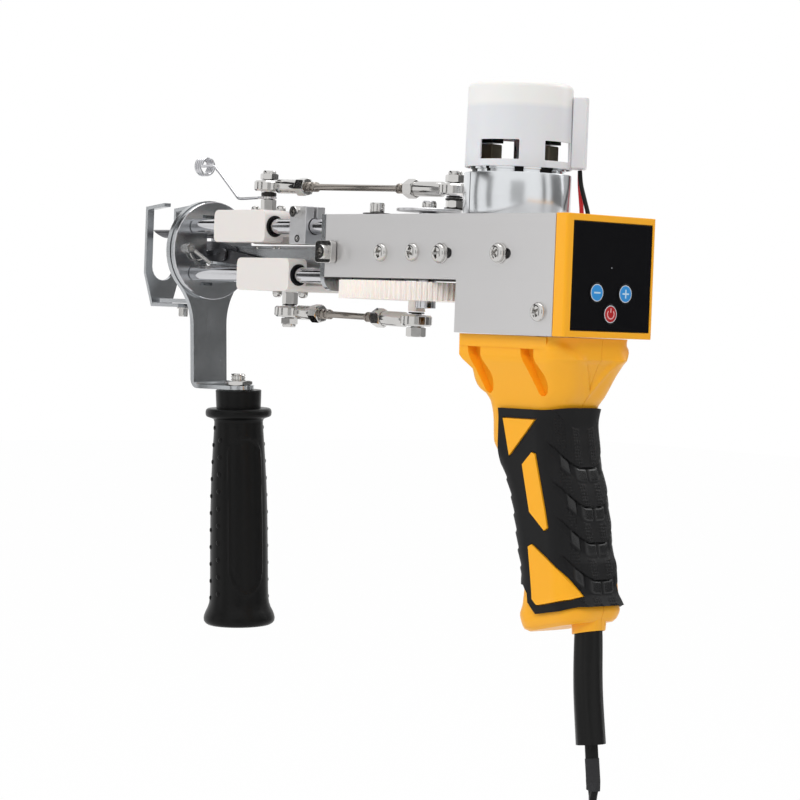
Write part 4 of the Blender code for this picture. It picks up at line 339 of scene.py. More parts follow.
# %% Give each solid its finish and its edge
SLOT_FINISH = {
    "zinc_sheet": (ROLLED_SHEET, 0.25), "plated_steel": (PLATED, 0.3), "polished_rod": (POLISHED, 0.2),
    "bright_nut": (BRIGHT, 0.3), "aluminium_block": (MILLED, 0.4), "blade_steel": (BLADE, 0.1),
    "white_slider": (WHITE_NYLON, 0.5), "white_gear": (GEAR_NYLON, 0.12), "white_cover": (WHITE_CAP, 0.5),
    "yellow_shell": (YELLOW, 0.6), "black_rubber": (RUBBER, 0.3), "black_plastic": (HARD_BLACK, 0.4),
    "black_panel": (PANEL_FILM, 0.2), "blue_button": (KEY_BLUE, 0.4), "red_button": (KEY_RED, 0.4),
    "red_lead": (LEAD_RED, 0), "green_board": (BOARD, 0.1),
}
slot_of = {row["node"]: row["material_slot"] for row in frame["record"]["subparts"]}
body_of = {node: body for body, members in frame["record"]["behaviour"]["bodies"].items() for node in members}


def soften(piece, width_mm, segments=2):
    """Rounds the hard edges of a piece and shades the rest smoothly."""
    if width_mm:
        bevel = piece.modifiers.new("edge_radius", "BEVEL")
        bevel.width = width_mm * MM
        bevel.segments = segments
        bevel.limit_method = "ANGLE"
        bevel.angle_limit = math.radians(38)
        bevel.harden_normals = True
    return piece


for node_name, piece in nodes.items():
    surface, edge = SLOT_FINISH[slot_of[node_name]]
    for slot in piece.material_slots:
        slot.material = surface
    soften(piece, edge)

# %% [markdown]
# ## Shapes from a few numbers
#
# Nearly every part of the machine was cut from sheet, turned on a lathe, or bent from wire. Three helpers
# follow the same three crafts: one pushes an outline through a thickness, one turns a profile round an axis,
# and one sweeps a section along a path. They work in millimetres, and the mesh is brought to metres as it is
# closed. A fourth helper says which body a piece moves with and what it stands for.

# %% Points, arcs and outlines


def circle(radius, count=16, start=0.0):
    """Points round a circle, the first at a share of one step."""
    angles = [2 * math.pi * (i + start) / count for i in range(count)]
    return [(radius * math.cos(a), radius * math.sin(a)) for a in angles]


def arc(centre, radius, start_deg, stop_deg, steps):
    """Points on an arc, both ends included."""
    angles = [math.radians(start_deg + (stop_deg - start_deg) * i / steps) for i in range(steps + 1)]
    return [(centre[0] + radius * math.cos(a), centre[1] + radius * math.sin(a)) for a in angles]


def ring_part(centre, outer, inner, start_deg, stop_deg, steps):
    """The outline of a piece of a flat ring."""
    return arc(centre, outer, start_deg, stop_deg, steps) + arc(centre, inner, stop_deg, start_deg, steps)


def oblong(wide, thick, power, steps):
    """An outline between an ellipse and a rectangle."""
    return [
        (math.copysign(abs(c) ** power, c) * wide, math.copysign(abs(s) ** power, s) * thick)
        for c, s in circle(1, steps)
    ]


def there_and_back(rows):
    """A profile and its mirror image about place 0."""
    return [(radius, -place) for radius, place in rows] + list(rows)[::-1]


def put(axis, u, v, place):
    """A point from two places across an axis and one along it."""
    return Vector({"X": (place, u, v), "Y": (u, place, v), "Z": (u, v, place)}[axis])


# %% Sheet, lathe and wire
AXIS_RADIUS = 0.02


def close_up(name, mesh, surface, sharp=35, unit=MM):
    """Turns a finished bmesh into an object, smooth except where faces meet sharply."""
    mesh.transform(Matrix.Scale(unit, 4))
    bmesh.ops.remove_doubles(mesh, verts=mesh.verts, dist=0.002 * MM)
    bmesh.ops.recalc_face_normals(mesh, faces=mesh.faces)
    data = bpy.data.meshes.new(name)
    mesh.to_mesh(data)
    mesh.free()
    data.materials.append(surface)
    data.shade_smooth()
    data.set_sharp_from_angle(angle=math.radians(sharp))
    return new_object(name, data)


def skin(mesh, rings, along=False):
    """Joins rows of points with quads, then caps both ends or, where asked, joins the last row to the first."""
    rows = [[mesh.verts.new(point) for point in ring] for ring in rings]
    for first, second in list(zip(rows, rows[1:])) + ([(rows[-1], rows[0])] if along else []):
        for i in range(len(first)):
            j = (i + 1) % len(first)
            mesh.faces.new((first[i], first[j], second[j], second[i]))
    if not along:
        mesh.faces.new(rows[0])
        mesh.faces.new(rows[-1])


def lofted(name, rings, surface, sharp=35, along=False):
    """A closed body through sections."""
    mesh = bmesh.new()
    skin(mesh, rings, along)
    return close_up(name, mesh, surface, sharp)


def slab(name, outline, axis, low, high, surface, edge=0):
    """An outline pushed through a thickness, as sheet is cut."""
    rings = [[put(axis, u, v, place) for u, v in outline] for place in (low, high)]
    return soften(lofted(name, rings, surface), edge)


def turn(name, profile, surface, steps=64, axis="Z", centre=(0, 0), ring=False):
    """A profile of (radius, place) turned round an axis, closed to the axis or to itself."""
    rows = list(profile)
    if not ring and rows[0][0] > AXIS_RADIUS:
        rows.insert(0, (AXIS_RADIUS, rows[0][1]))
    if not ring and rows[-1][0] > AXIS_RADIUS:
        rows.append((AXIS_RADIUS, rows[-1][1]))
    rings = []
    for radius, place in rows:
        rings.append([put(axis, centre[0] + u, centre[1] + v, place) for u, v in circle(radius, steps)])
    return lofted(name, rings, surface, along=ring)


def sweep(name, path, section, surface, wide=None, sharp=60):
    """A section of (across, over) swept along points. Where given, wide says which way 'across' lies."""
    rings = []
    side = Vector((0, 1, 0))
    for i, point in enumerate(path):
        ahead = (path[min(i + 1, len(path) - 1)] - path[max(i - 1, 0)]).normalized()
        side = wide(point, i) if wide else side
        side = (side - ahead * side.dot(ahead)).normalized()
        over = ahead.cross(side)
        rings.append([point + side * u + over * v for u, v in (section(i) if callable(section) else section)])
    return lofted(name, rings, surface, sharp)


def settle(piece, body, slot, *stands_for):
    """The piece moves with a body and, where named, stands for solids. The slot is not used."""
    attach(piece, body)
    if stands_for:
        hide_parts(*stands_for)
    return piece


def ease(value, low, high):
    """Runs from 0 to 1 between two values, flat at both ends."""
    share = min(1.0, max(0.0, (value - low) / (high - low)))
    return share * share * (3 - 2 * share)


def between(value, low, high):
    """Runs from 0 to 1 between two values in a straight line."""
    return min(1.0, max(0.0, (value - low) / (high - low)))


# %% [markdown]
# ## The lead, its hank and its plug
#
# A flat twin lead comes out of a rubber sleeve under the grip. Only its first centimetres are in the
# photograph, so the rest is put away in a hank that hangs straight under the grip, folded four times and tied
# round its waist. The route is the same as in the solid model. Two conductors side by side give a section
# like a figure eight, which turns on edge under its cloth wrap, and lies with its thin side towards the
# centre of each fold.

# %% The route of the lead
LEAD_WIDTH = 6.0
LEAD_THICKNESS = 3.4
SLEEVE_RADIUS = 6.6
BASE_TILT = math.tan(math.radians(13))
GRIP_TOP = 65.7
GRIP_HEIGHT = 129.0
BOSS_X = 25.0
BOSS_FOOT = GRIP_TOP - GRIP_HEIGHT - 4.1
SEAT = 0.3
SLEEVE_TOP = Vector((BOSS_X, 0, BOSS_FOOT + 4.0 - SLEEVE_RADIUS * BASE_TILT - SEAT))
SLEEVE_END = SLEEVE_TOP + Vector((4.5, 0, -52.5))
HANK_RADIUS = 18.0
HANK_RUN = 95.0
HANK_STEP = 7.3
HANK_LAYER = 6.8
HANK_LOOPS = 4
HANK_DROP = 76.0
HANK_WAIST_GAP = 1.0
POINTS_PER_LOOP = 24
PLUG_RADIUS = 5.2
PLUG_LENGTH = 36.0
PLUG_TIP_RADIUS = 2.75
PLUG_TIP_LENGTH = 9.5
HANK_CENTRE = Vector((SLEEVE_END.x, 0, SLEEVE_END.z - HANK_DROP - HANK_RADIUS - HANK_RUN / 2))


def smooth_path(knots, spacing):
    """Points read off a smooth curve through the knots, about one spacing apart."""
    ends = [2 * knots[0] - knots[1]] + list(knots) + [2 * knots[-1] - knots[-2]]
    points = []
    for a, b, c, d in zip(ends, ends[1:], ends[2:], ends[3:]):
        steps = max(2, round((c - b).length / spacing))
        for i in range(steps):
            t = i / steps
            bend = (2 * a - 5 * b + 4 * c - d) * t**2 + (3 * b - a - 3 * c + d) * t**3
            points.append((2 * b + (c - a) * t + bend) / 2)
    return points + [knots[-1]]


def hank_point(turn_count):
    """A point on the hank. A turn goes down the right run, round the foot, up the left run and back over."""
    grow_out = HANK_STEP * abs(turn_count - HANK_LOOPS / 2)
    climb = max(-1.0, min(1.0, (turn_count - HANK_LOOPS / 2) * 4))
    pinch = HANK_RADIUS - LEAD_WIDTH / 2 - HANK_WAIST_GAP / 2
    phase = (turn_count % 1.0) * 4
    leg = phase % 1.0
    side = 1 if phase < 2 else -1
    if int(phase) in (0, 2):
        z = side * HANK_RUN * (0.5 - leg)
        waist = pinch * (1 + math.cos(2 * math.pi * z / HANK_RUN)) / 2
        x = side * (HANK_RADIUS - waist + grow_out)
    else:
        reach = HANK_RADIUS + grow_out
        x = side * reach * math.cos(math.pi * leg)
        z = -side * (HANK_RUN / 2 + reach * math.sin(math.pi * leg))
    return HANK_CENTRE + Vector((x, HANK_LAYER / 2 * climb, z))


sleeve_middle = (SLEEVE_TOP + SLEEVE_END) / 2 + Vector((-1.125, 0, 0))
leave = (SLEEVE_END - sleeve_middle).normalized()
loops = [hank_point(i / POINTS_PER_LOOP) for i in range(POINTS_PER_LOOP * HANK_LOOPS + 1)]
start = loops[0]
enter = (loops[1] - start).normalized()
drop_knots = [
    SLEEVE_END + leave * (SEAT + LEAD_WIDTH),
    SLEEVE_END + leave * LEAD_WIDTH * 3,
    Vector((SLEEVE_END.x + HANK_STEP / 2, 0, SLEEVE_END.z - LEAD_WIDTH * 6)),
    start + Vector((-HANK_STEP * 2, HANK_LAYER / 6, LEAD_WIDTH * 6)),
    start - enter * LEAD_WIDTH * 3,
    start - enter * (SEAT + LEAD_WIDTH),
]
drop = [SLEEVE_END + leave * SEAT] + smooth_path(drop_knots, LEAD_WIDTH) + [start - enter * SEAT]
plug_top = loops[-1] + Vector((PLUG_RADIUS + LEAD_WIDTH, 0, -LEAD_WIDTH * 8))
tail_knots = [
    loops[-1],
    loops[-1] + Vector((LEAD_WIDTH / 2, 0, -LEAD_WIDTH * 2)),
    plug_top + Vector((0, 0, LEAD_WIDTH * 2)),
    plug_top,
]
route = drop + loops + smooth_path(tail_knots, LEAD_WIDTH)[1:]

# %% The lead as one swept skin
fine_route = smooth_path(route, 3.0)
CAMERA_FLAT = Vector((CAMERA_RIGHT.x, CAMERA_RIGHT.y, 0)).normalized()
WRAP_TOP = SLEEVE_END.z - 5.5
WRAP_BASE = WRAP_TOP - 16.0


def wrap_side(point, i):
    """Which way the wide side points at the wrap: across the view at first, then on edge."""
    return CAMERA_FLAT.lerp(CAMERA_BACK, between(WRAP_TOP - 8 - point.z, 0, 11)).normalized()


def lead_side(point, i):
    """Which way the wide side of the lead points: as in the wrap at first, and level further down."""
    edge_on = between(WRAP_TOP - 8 - point.z, 0, 11)
    level = between(WRAP_BASE - 8 - point.z, 0, 30)
    if i > len(fine_route) / 8:
        edge_on = level = 1
    return CAMERA_FLAT.lerp(CAMERA_BACK, edge_on).lerp(Vector((0, -1, 0)), level).normalized()


def twin_section(width, thick):
    """Two round conductors side by side, with a groove between them."""
    half = arc((width / 2 - thick / 2, 0), thick / 2, -125, 125, 10)
    return half + [(-u, -v) for u, v in half]


lead = sweep("lead", fine_route, twin_section(LEAD_WIDTH, LEAD_THICKNESS), BLACK_SKIN, lead_side)
print(len(lead.data.polygons), "faces on the lead")

# %% The sleeve, the cloth wrap, the tie and the plug
sleeve_path = smooth_path([SLEEVE_TOP, sleeve_middle, SLEEVE_END], 1.2)
wrap_path = [point for point in fine_route[: len(fine_route) // 8] if WRAP_BASE <= point.z <= WRAP_TOP]
wrap_path = smooth_path(wrap_path, 0.8)


def sleeve_section(i):
    """The shrunk sleeve shows the two conductors inside it as soft ridges, and opens a little at its foot."""
    share = i / (len(sleeve_path) - 1)
    radius = SLEEVE_RADIUS * (1 - 0.05 * math.exp(-share * 9) + 0.03 * share)
    shape = []
    for step, (u, v) in enumerate(circle(radius, 48)):
        angle = 2 * math.pi * step / 48
        ridge = 1 + 0.035 * math.cos(angle * 3 + 0.6) + 0.02 * math.cos(angle * 7 + share * 2)
        shape.append((u * ridge, v * ridge))
    return shape


def wrap_section(i):
    """Cloth drawn over the two conductors: a rounded oblong whose hem flares."""
    flare = 0.25 + 0.35 * between(i / (len(wrap_path) - 1), 0.85, 1)
    return oblong(LEAD_WIDTH / 2 + flare, LEAD_THICKNESS / 2 + flare, 2 / 3.2, 28)


sleeve = sweep("strain_sleeve", sleeve_path, sleeve_section, BLACK_SKIN)
settle(sleeve, "chassis", "black_rubber", "cable_sleeve")
wrap = settle(sweep("cloth_wrap", wrap_path, wrap_section, CLOTH, wrap_side, 35), "chassis", "black_rubber")

TIE_WALL = 0.9
TIE_HALF_HEIGHT = 4.0
waist = [point.x for point in loops if abs(point.z - HANK_CENTRE.z) < 3]
tie_x = (max(waist) + min(waist)) / 2
tie_half = (max(waist) - min(waist) + LEAD_THICKNESS) / 2 + TIE_WALL
tie_deep = HANK_LAYER / 2 + LEAD_WIDTH / 2 + TIE_WALL
rings = []
for wall, way in ((0, -1), (0, 1), (TIE_WALL, 1), (TIE_WALL, -1)):
    shape = oblong(tie_half + wall, tie_deep + wall, 0.55, 40)
    rings.append([Vector((tie_x + u, v, HANK_CENTRE.z + way * TIE_HALF_HEIGHT)) for u, v in shape])
tie = settle(soften(lofted("hank_tie", rings, CLOTH, along=True), 0.2), "chassis", "black_rubber")

rows = [(3.4, -SEAT)]
for rib in range(5):
    place, radius = -(1.0 + 2.0 * rib), 3.7 + 0.25 * rib
    rows += [(radius, place), (radius, place - 1.1), (radius - 0.6, place - 1.3), (radius - 0.6, place - 1.9)]
rows += [(PLUG_RADIUS, -12.2), (PLUG_RADIUS, 0.6 - PLUG_LENGTH), (PLUG_RADIUS - 0.6, -PLUG_LENGTH)]
tip = -PLUG_LENGTH - PLUG_TIP_LENGTH
barrel_rows = [
    (PLUG_TIP_RADIUS, 0.5 - PLUG_LENGTH), (PLUG_TIP_RADIUS, tip + 0.4), (PLUG_TIP_RADIUS - 0.3, tip),
    (1.2, tip), (1.05, tip + 0.3), (1.05, 0.5 - PLUG_LENGTH),
]


def on_plug(name, profile, surface, steps, ring=False):
    """A turned piece on the plug's axis, its places counted from the plug's top."""
    rows = [(radius, plug_top.z - SEAT + place) for radius, place in profile]
    return turn(name, rows, surface, steps, centre=(plug_top.x, plug_top.y), ring=ring)


plug_body = settle(on_plug("plug_body", rows, HARD_BLACK, 64), "chassis", "black_plastic", "cable_plug")
barrel = settle(on_plug("plug_barrel", barrel_rows, BRIGHT, 32, True), "chassis", "bright_nut")
settle(lead, "chassis", "black_rubber", "cable_lead", "cable_hank")
print("plug hangs at", tuple(round(value, 1) for value in plug_top), "mm")

# %% [markdown]
# ## Screws, nuts, washers and threads
#
# The frame is held by pan-head screws with a cross recess, and the clamps by socket cap screws. Each kind is
# modelled once, as a small pattern, and a Geometry Nodes tree sets a copy on each point, turned to the
# point's axis and spun by its own amount, because no fitter leaves all recesses in line. A second tree winds
# a wire round an axis: with a four-cornered section it is a screw thread, and with a round one it is a
# spring.

# %% Moving, cutting and joining pieces


def at(x, y, z):
    """A shift given in millimetres."""
    return Matrix.Translation(Vector((x, y, z)) * MM)


def spun(angle, axis="Z"):
    return Matrix.Rotation(angle, 4, axis)


def laid(piece, matrix):
    """Moves the points of a piece, so that its object stays at the origin."""
    piece.data.transform(matrix)
    piece.data.update()
    return piece


def plain_mesh(piece):
    """The piece with its modifiers worked into its mesh."""
    graph = bpy.context.evaluated_depsgraph_get()
    shaped = piece.evaluated_get(graph)
    data = bpy.data.meshes.new_from_object(shaped, preserve_all_data_layers=True, depsgraph=graph)
    piece.modifiers.clear()
    piece.data = data
    return piece


def carve(piece, *tools, way="DIFFERENCE", sharp=35):
    """Cuts the tools out of the piece, or keeps what they share, and removes the tools."""
    for tool in tools:
        cut = piece.modifiers.new("cut", "BOOLEAN")
        cut.operation = way
        cut.solver = "EXACT"
        cut.object = tool
    plain_mesh(piece)
    for tool in tools:
        bpy.data.objects.remove(tool)
    piece.data.set_sharp_from_angle(angle=math.radians(sharp))
    return piece


def merge_pieces(name, pieces):
    """Several pieces as one plain mesh."""
    mesh = bmesh.new()
    surfaces = []
    for piece in pieces:
        plain_mesh(piece)
        first = len(mesh.faces)
        mesh.from_mesh(piece.data)
        mesh.faces.ensure_lookup_table()
        own = list(piece.data.materials)
        surfaces += [material for material in own if material not in surfaces]
        for face in mesh.faces[first:]:
            face.material_index = surfaces.index(own[min(face.material_index, len(own) - 1)])
        bpy.data.objects.remove(piece)
    data = bpy.data.meshes.new(name)
    mesh.to_mesh(data)
    mesh.free()
    for material in surfaces:
        data.materials.append(material)
    return new_object(name, data)


# %% One pattern for each kind of fastener


def pan_head(radius, height):
    """A pan head standing on z 0, with a cross recess that narrows as it goes down."""
    rows = [(0.97, 0), (1, 0.18), (0.97, 0.45), (0.86, 0.74), (0.66, 0.92), (0.36, 1)]
    head = turn("pan_head", [(radius * share, height * place) for share, place in rows], BRIGHT, 40)
    tools = []
    for angle in (0, math.pi / 2):
        rings = [
            [Vector((i * long * radius, j * wide * radius, depth * height)) for i, j in SQUARE]
            for depth, wide, long in ((0.25, 0.10, 0.20), (1.1, 0.15, 0.62))
        ]
        tools.append(laid(lofted("recess", rings, HARD_BLACK), spun(angle)))
    return carve(head, *tools)


def hexagon(across):
    """A hexagon measured across its flats."""
    return circle(across / 2 / math.cos(math.pi / 6), 6, 0.5)


def cap_head(radius, height, key):
    """A socket cap head standing on z 0, with a chamfer, a hexagon socket and a finely knurled side."""
    rings = []
    for share, place in ((0.0005, 0), (0.96, 0), (1, 0.06), (1, 0.86), (0.93, 1), (0.0005, 1)):
        shape = circle(radius * share, 72)
        if share == 1:
            shape = [(u * (1 - 0.02 * (i % 2)), v * (1 - 0.02 * (i % 2))) for i, (u, v) in enumerate(shape)]
        rings.append([Vector((u, v, place * height)) for u, v in shape])
    socket = slab("socket", hexagon(key), "Z", height * 0.4, height * 1.2, HARD_BLACK)
    return carve(lofted("cap_head", rings, BRIGHT), socket)


def hex_head(across, height, surface=BRIGHT):
    """A hexagon head or nut standing on z 0, its corners turned off at both faces."""
    reach, flat = across / 2 / math.cos(math.pi / 6), across * 0.48
    slope = (reach - flat) / 2
    rows = [(flat, 0), (reach, slope), (reach, height - slope), (flat, height)]
    nut = slab("hex_head", hexagon(across), "Z", 0, height, surface)
    return carve(nut, turn("corners_off", rows, BRIGHT, 48), way="INTERSECT")


def washer(outer, inner, height, surface=BRIGHT):
    soft = 0.15
    rows = [(inner, 0), (outer - soft, 0), (outer, soft)]
    rows += [(outer, height - soft), (outer - soft, height), (inner, height)]
    return turn("washer", rows, surface, 40, ring=True)


# %% The tree that sets a pattern on each point


def new_tree(name, **inputs):
    """A Geometry Nodes tree with named inputs, one mesh output and a last step that sets the finish."""
    tree = bpy.data.node_groups.new(name, "GeometryNodeTree")
    for key, kind in {"Geometry": "Geometry", **inputs, "Finish": "Material"}.items():
        tree.interface.new_socket(key, in_out="INPUT", socket_type="NodeSocket" + kind)
    tree.interface.new_socket("Geometry", in_out="OUTPUT", socket_type="NodeSocketGeometry")
    return tree, tree.nodes.new("NodeGroupInput").outputs


def end_tree(tree, given, grown):
    real = add(tree, "GeometryNodeRealizeInstances", grown)
    dressed = add(tree, "GeometryNodeSetMaterial", real, Material=given["Finish"])
    add(tree, "NodeGroupOutput", dressed)
    return tree


def build_spread_tree():
    tree, given = new_tree("set_on_points", Pattern="Object", Size="Float")
    pattern = add(tree, "GeometryNodeObjectInfo", given["Pattern"]).outputs["Geometry"]
    axis = add(tree, "GeometryNodeInputNamedAttribute", "axis", data_type="FLOAT_VECTOR").outputs["Attribute"]
    spin = add(tree, "GeometryNodeInputNamedAttribute", "spin", data_type="FLOAT").outputs["Attribute"]
    turned = add(tree, "FunctionNodeAlignRotationToVector", None, None, axis, axis="Z")
    twist = add(tree, "FunctionNodeAxisAngleToRotation", (0, 0, 1), spin)
    both = add(tree, "FunctionNodeRotateRotation", turned, twist, rotation_space="LOCAL")
    copies = add(
        tree, "GeometryNodeInstanceOnPoints", Points=given["Geometry"], Instance=pattern, Rotation=both,
        Scale=given["Size"]
    )
    return end_tree(tree, given, copies)


def build_coil_tree():
    tree, given = new_tree(
        "wind_round_axis", Turns="Float", Radius="Float", Height="Float", Wire="Float", Corners="Int", Steps="Int"
    )
    spiral = add(tree, "GeometryNodeCurveSpiral", Resolution=given["Steps"], Rotations=given["Turns"])
    for key, value in (("Start Radius", "Radius"), ("End Radius", "Radius"), ("Height", "Height")):
        feed(tree, spiral, key, given[value])
    section = add(tree, "GeometryNodeCurvePrimitiveCircle", Resolution=given["Corners"], Radius=given["Wire"])
    wound = add(tree, "GeometryNodeCurveToMesh", spiral, section.outputs["Curve"])
    wound.inputs["Fill Caps"].default_value = True
    return end_tree(tree, given, wound)


SPREAD = build_spread_tree()
COIL = build_coil_tree()


def grow(base, tree, surface, name, **values):
    """Runs a tree on an object, with its inputs set by name, and keeps the result as a plain mesh."""
    work = base.modifiers.new("grow", "NODES")
    work.node_group = tree
    values["Finish"] = surface
    for item in tree.interface.items_tree:
        if item.in_out == "INPUT" and item.name in values:
            work[item.identifier] = values[item.name]
    base.name = name
    plain_mesh(base)
    base.data.name = name
    return base


def spread(name, pattern, places, surface=BRIGHT):
    """A copy of the pattern on each (place, axis, spin), as one plain mesh."""
    data = bpy.data.meshes.new(name)
    data.from_pydata([tuple(Vector(place) * MM) for place, axis, spin in places], [], [])
    axes = data.attributes.new("axis", "FLOAT_VECTOR", "POINT")
    axes.data.foreach_set("vector", [value for place, axis, spin in places for value in axis])
    spins = data.attributes.new("spin", "FLOAT", "POINT")
    spins.data.foreach_set("value", [spin for place, axis, spin in places])
    made = grow(new_object(name, data), SPREAD, surface, name, Pattern=pattern, Size=1.0)
    bpy.data.objects.remove(pattern)
    return made


def coil(name, turns, radius, height, wire, surface, place, axis, wire_corners=12, steps=24):
    """A wire wound round an axis from a place. Steps are the points in one turn."""
    base = new_object(name, bpy.data.meshes.new(name))
    sizes = {"Radius": radius * MM, "Height": height * MM, "Wire": wire * MM}
    made = grow(base, COIL, surface, name, Turns=turns, Corners=wire_corners, Steps=steps, **sizes)
    laid(made, at(*place) @ aimed(axis))
    made.data.shade_smooth()
    made.data.set_sharp_from_angle(angle=math.radians(50 if wire_corners < 8 else 80))
    return made


def thread(radius, low, high, pitch, surface, axis, steps=20):
    """A screw thread between two places on an axis: the ridge alone, set on a core."""
    run, core = high - low, radius - pitch * 0.32
    return coil("ridge", run / pitch, core, run, pitch * 0.38, surface, Vector(axis) * low, axis, 4, steps)


print("trees:", [tree.name for tree in bpy.data.node_groups])

# %% Side plate screws
SIDE_SCREWS = (
    # x, z, spin, and the thickness of a washer under the head
    (-97.8, 102.6, 0.35, 0), (-74.9, 102.9, 1.1, 0), (-54.9, 102.6, 0.1, 1.0), (-14.9, 102.95, 0.7, 1.0),
    (12.3, 76.7, 0.5, 0),
)


def box_mm(node):
    """The two corners of a solid's box in millimetres."""
    return [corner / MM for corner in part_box(node)]


heads, washers = [], []
for node, end, way in (("side_plate_left", 0, -1), ("side_plate_right", 1, 1)):
    face = box_mm(node)[end].y
    for x, z, spin, lift in SIDE_SCREWS:
        heads.append(((x, face + way * lift, z), (0, way, 0), spin * (2 if way > 0 else 1)))
        if lift:
            washers.append(((x, face, z), (0, way, 0), 0.0))
settle(spread("side_screws", pan_head(4.4, 2.6), heads), "chassis", "bright_nut")
settle(spread("side_washers", washer(4.9, 2.2, 1.0), washers), "chassis", "bright_nut")

# %% [markdown]
# ## Edges on the solids
#
# A node's mesh arrives as loose triangles, on which a Bevel modifier finds no edges. So a copy of each solid
# is merged first, its flat faces are made whole, and the copy gets the small edge radius that its making
# leaves. The copy then stands for the solid, and what is still a plain node keeps its finish.

# %% A merged copy with rounded edges
EDGES = {
    0.1: ("drive_gear", "drive_pinion", "circuit_board"),
    0.12: ("fixed_blade", "moving_blade"),
    0.2: ("needle_arm",),
    0.25: ("side_plate_left", "side_plate_right", "deck_plate"),
    0.3: ("front_plate", "blade_bar", "motor_shaft"),
    0.35: ("foot_arm", "rod_clamp", "side_clamp"),
    0.4: ("shaft_block", "motor_block", "main_shaft"),
    0.45: ("front_disc",),
    0.5: (
        "presser_foot", "guide_rod_upper_left", "guide_rod_upper_right", "guide_rod_lower_left",
        "guide_rod_lower_right",
    ),
    0.7: ("scissor_slider", "needle_slider"),
}


def merged(name, node_name, surface):
    """A copy of a solid with its triangles joined and its flat faces made whole."""
    mesh = bmesh.new()
    mesh.from_mesh(nodes[node_name].data)
    bmesh.ops.remove_doubles(mesh, verts=mesh.verts, dist=0.002 * MM)
    bmesh.ops.dissolve_limit(mesh, angle_limit=math.radians(0.5), verts=mesh.verts, edges=mesh.edges)
    return close_up(name, mesh, surface, unit=1)


def stand_for(piece, node_name):
    """The piece takes the body and the place of a solid."""
    return settle(piece, body_of[node_name], slot_of[node_name], node_name)


def dress(node_name, edge, surface=None):
    """A merged and softened copy of a solid, which stands for it."""
    surface = surface or SLOT_FINISH[slot_of[node_name]][0]
    return stand_for(soften(merged(f"{node_name}_dressed", node_name, surface), edge), node_name)


for edge, names in EDGES.items():
    for node_name in names:
        dress(node_name, edge)
print(sum(len(names) for names in EDGES.values()), "solids dressed")

# %% [markdown]
# ## Connecting rods
#
# A ball-jointed rod end is a stamped ring round a hardened ball, with a shank that takes a threaded rod and a
# lock nut. The ring and the ball are turned profiles, the nut is a hexagon whose corners a lathe has taken
# off, and the thread is a four-cornered wire wound round the rod. All of it is built along X and then laid
# along the rod's line.

# %% Rod ends, lock nuts and threaded rods
ROD_LINES = {
    # wrist, crank pin, barrel length in front and at the rear
    "upper": (Vector((-221.3, 0, 137.5)), Vector((-87.127, 9.057, 134.8)), 17.0, 19.5),
    "lower": (Vector((-200.5, 0, 72.8)), Vector((-102.901, 1.251, 70.8)), 13.0, 17.0),
}
EYE_RADIUS = 7.8
EYE_HEIGHT = 6.0
BALL_RADIUS = 5.0
BARREL_START = 6.3
BARREL_RADIUS = 3.7
LINK_RADIUS = 2.5
LINK_WAIST = 1.65
LINK_THREAD = 8.0
NUT_LENGTH = 6.0
NUT_FLATS = 8.4
THREAD_PITCH = 0.8


def rod_end(name, inward, barrel):
    """One rod end about the origin, its shank towards inward along X."""
    half = EYE_HEIGHT / 2
    rows = there_and_back([(4.5, 2.2), (5.0, 2.7), (7.0, 2.7), (EYE_RADIUS, 1.9)])
    ring = turn("ring", rows, BRIGHT, 56, ring=True)
    reach = math.degrees(math.asin(half / BALL_RADIUS))
    bore = [(3.0, half), (2.7, half - 0.3), (2.7, 0.3 - half), (3.0, -half)]
    ball = turn("ball", arc((0, 0), BALL_RADIUS, -reach, reach, 12) + bore, POLISHED, 40, ring=True)
    start, stop = BARREL_START, BARREL_START + barrel
    rows = [
        (AXIS_RADIUS, start - 1.6), (2.5, start - 1.5), (2.8, start + 0.6), (BARREL_RADIUS, start + 2.2),
        (BARREL_RADIUS, stop - 0.35), (BARREL_RADIUS - 0.35, stop), (LINK_RADIUS + 0.05, stop),
        (LINK_RADIUS, stop - 2),
    ]
    shank = turn("shank", [(radius, inward * place) for radius, place in rows], BRIGHT, 40, "X")
    return merge_pieces(name, [ring, ball, shank])


def link(name, length, front, rear):
    """The rod between two rod ends: plain in the middle, threaded at both ends, with a lock nut on each."""
    core = LINK_RADIUS - THREAD_PITCH * 0.4
    halves, parts = [], []
    for barrel, from_end, spin in ((front, False, 0.25), (rear, True, 0.6)):
        nut = BARREL_START + barrel + SEAT
        inner, waist = BARREL_START + barrel / 4 + SEAT, nut + NUT_LENGTH + LINK_THREAD
        halves.append([(AXIS_RADIUS, inner), (core, inner + 0.3), (core, waist - 0.9), (LINK_WAIST, waist)])
        low, high, place = nut - 1.5, waist - 0.9, nut
        if from_end:
            low, high, place = length - high, length - low, length - nut - NUT_LENGTH
        parts.append(thread(LINK_RADIUS, low, high, THREAD_PITCH, BAR_STEEL, (1, 0, 0), 18))
        stand = at(place, 0, 0) @ spun(math.pi / 2, "Y") @ spun(spin)
        parts.append(laid(hex_head(NUT_FLATS, NUT_LENGTH), stand))
    profile = halves[0] + [(radius, length - place) for radius, place in halves[1][::-1]]
    parts.append(turn("rod", profile, BAR_STEEL, 28, "X"))
    return merge_pieces(name, parts)


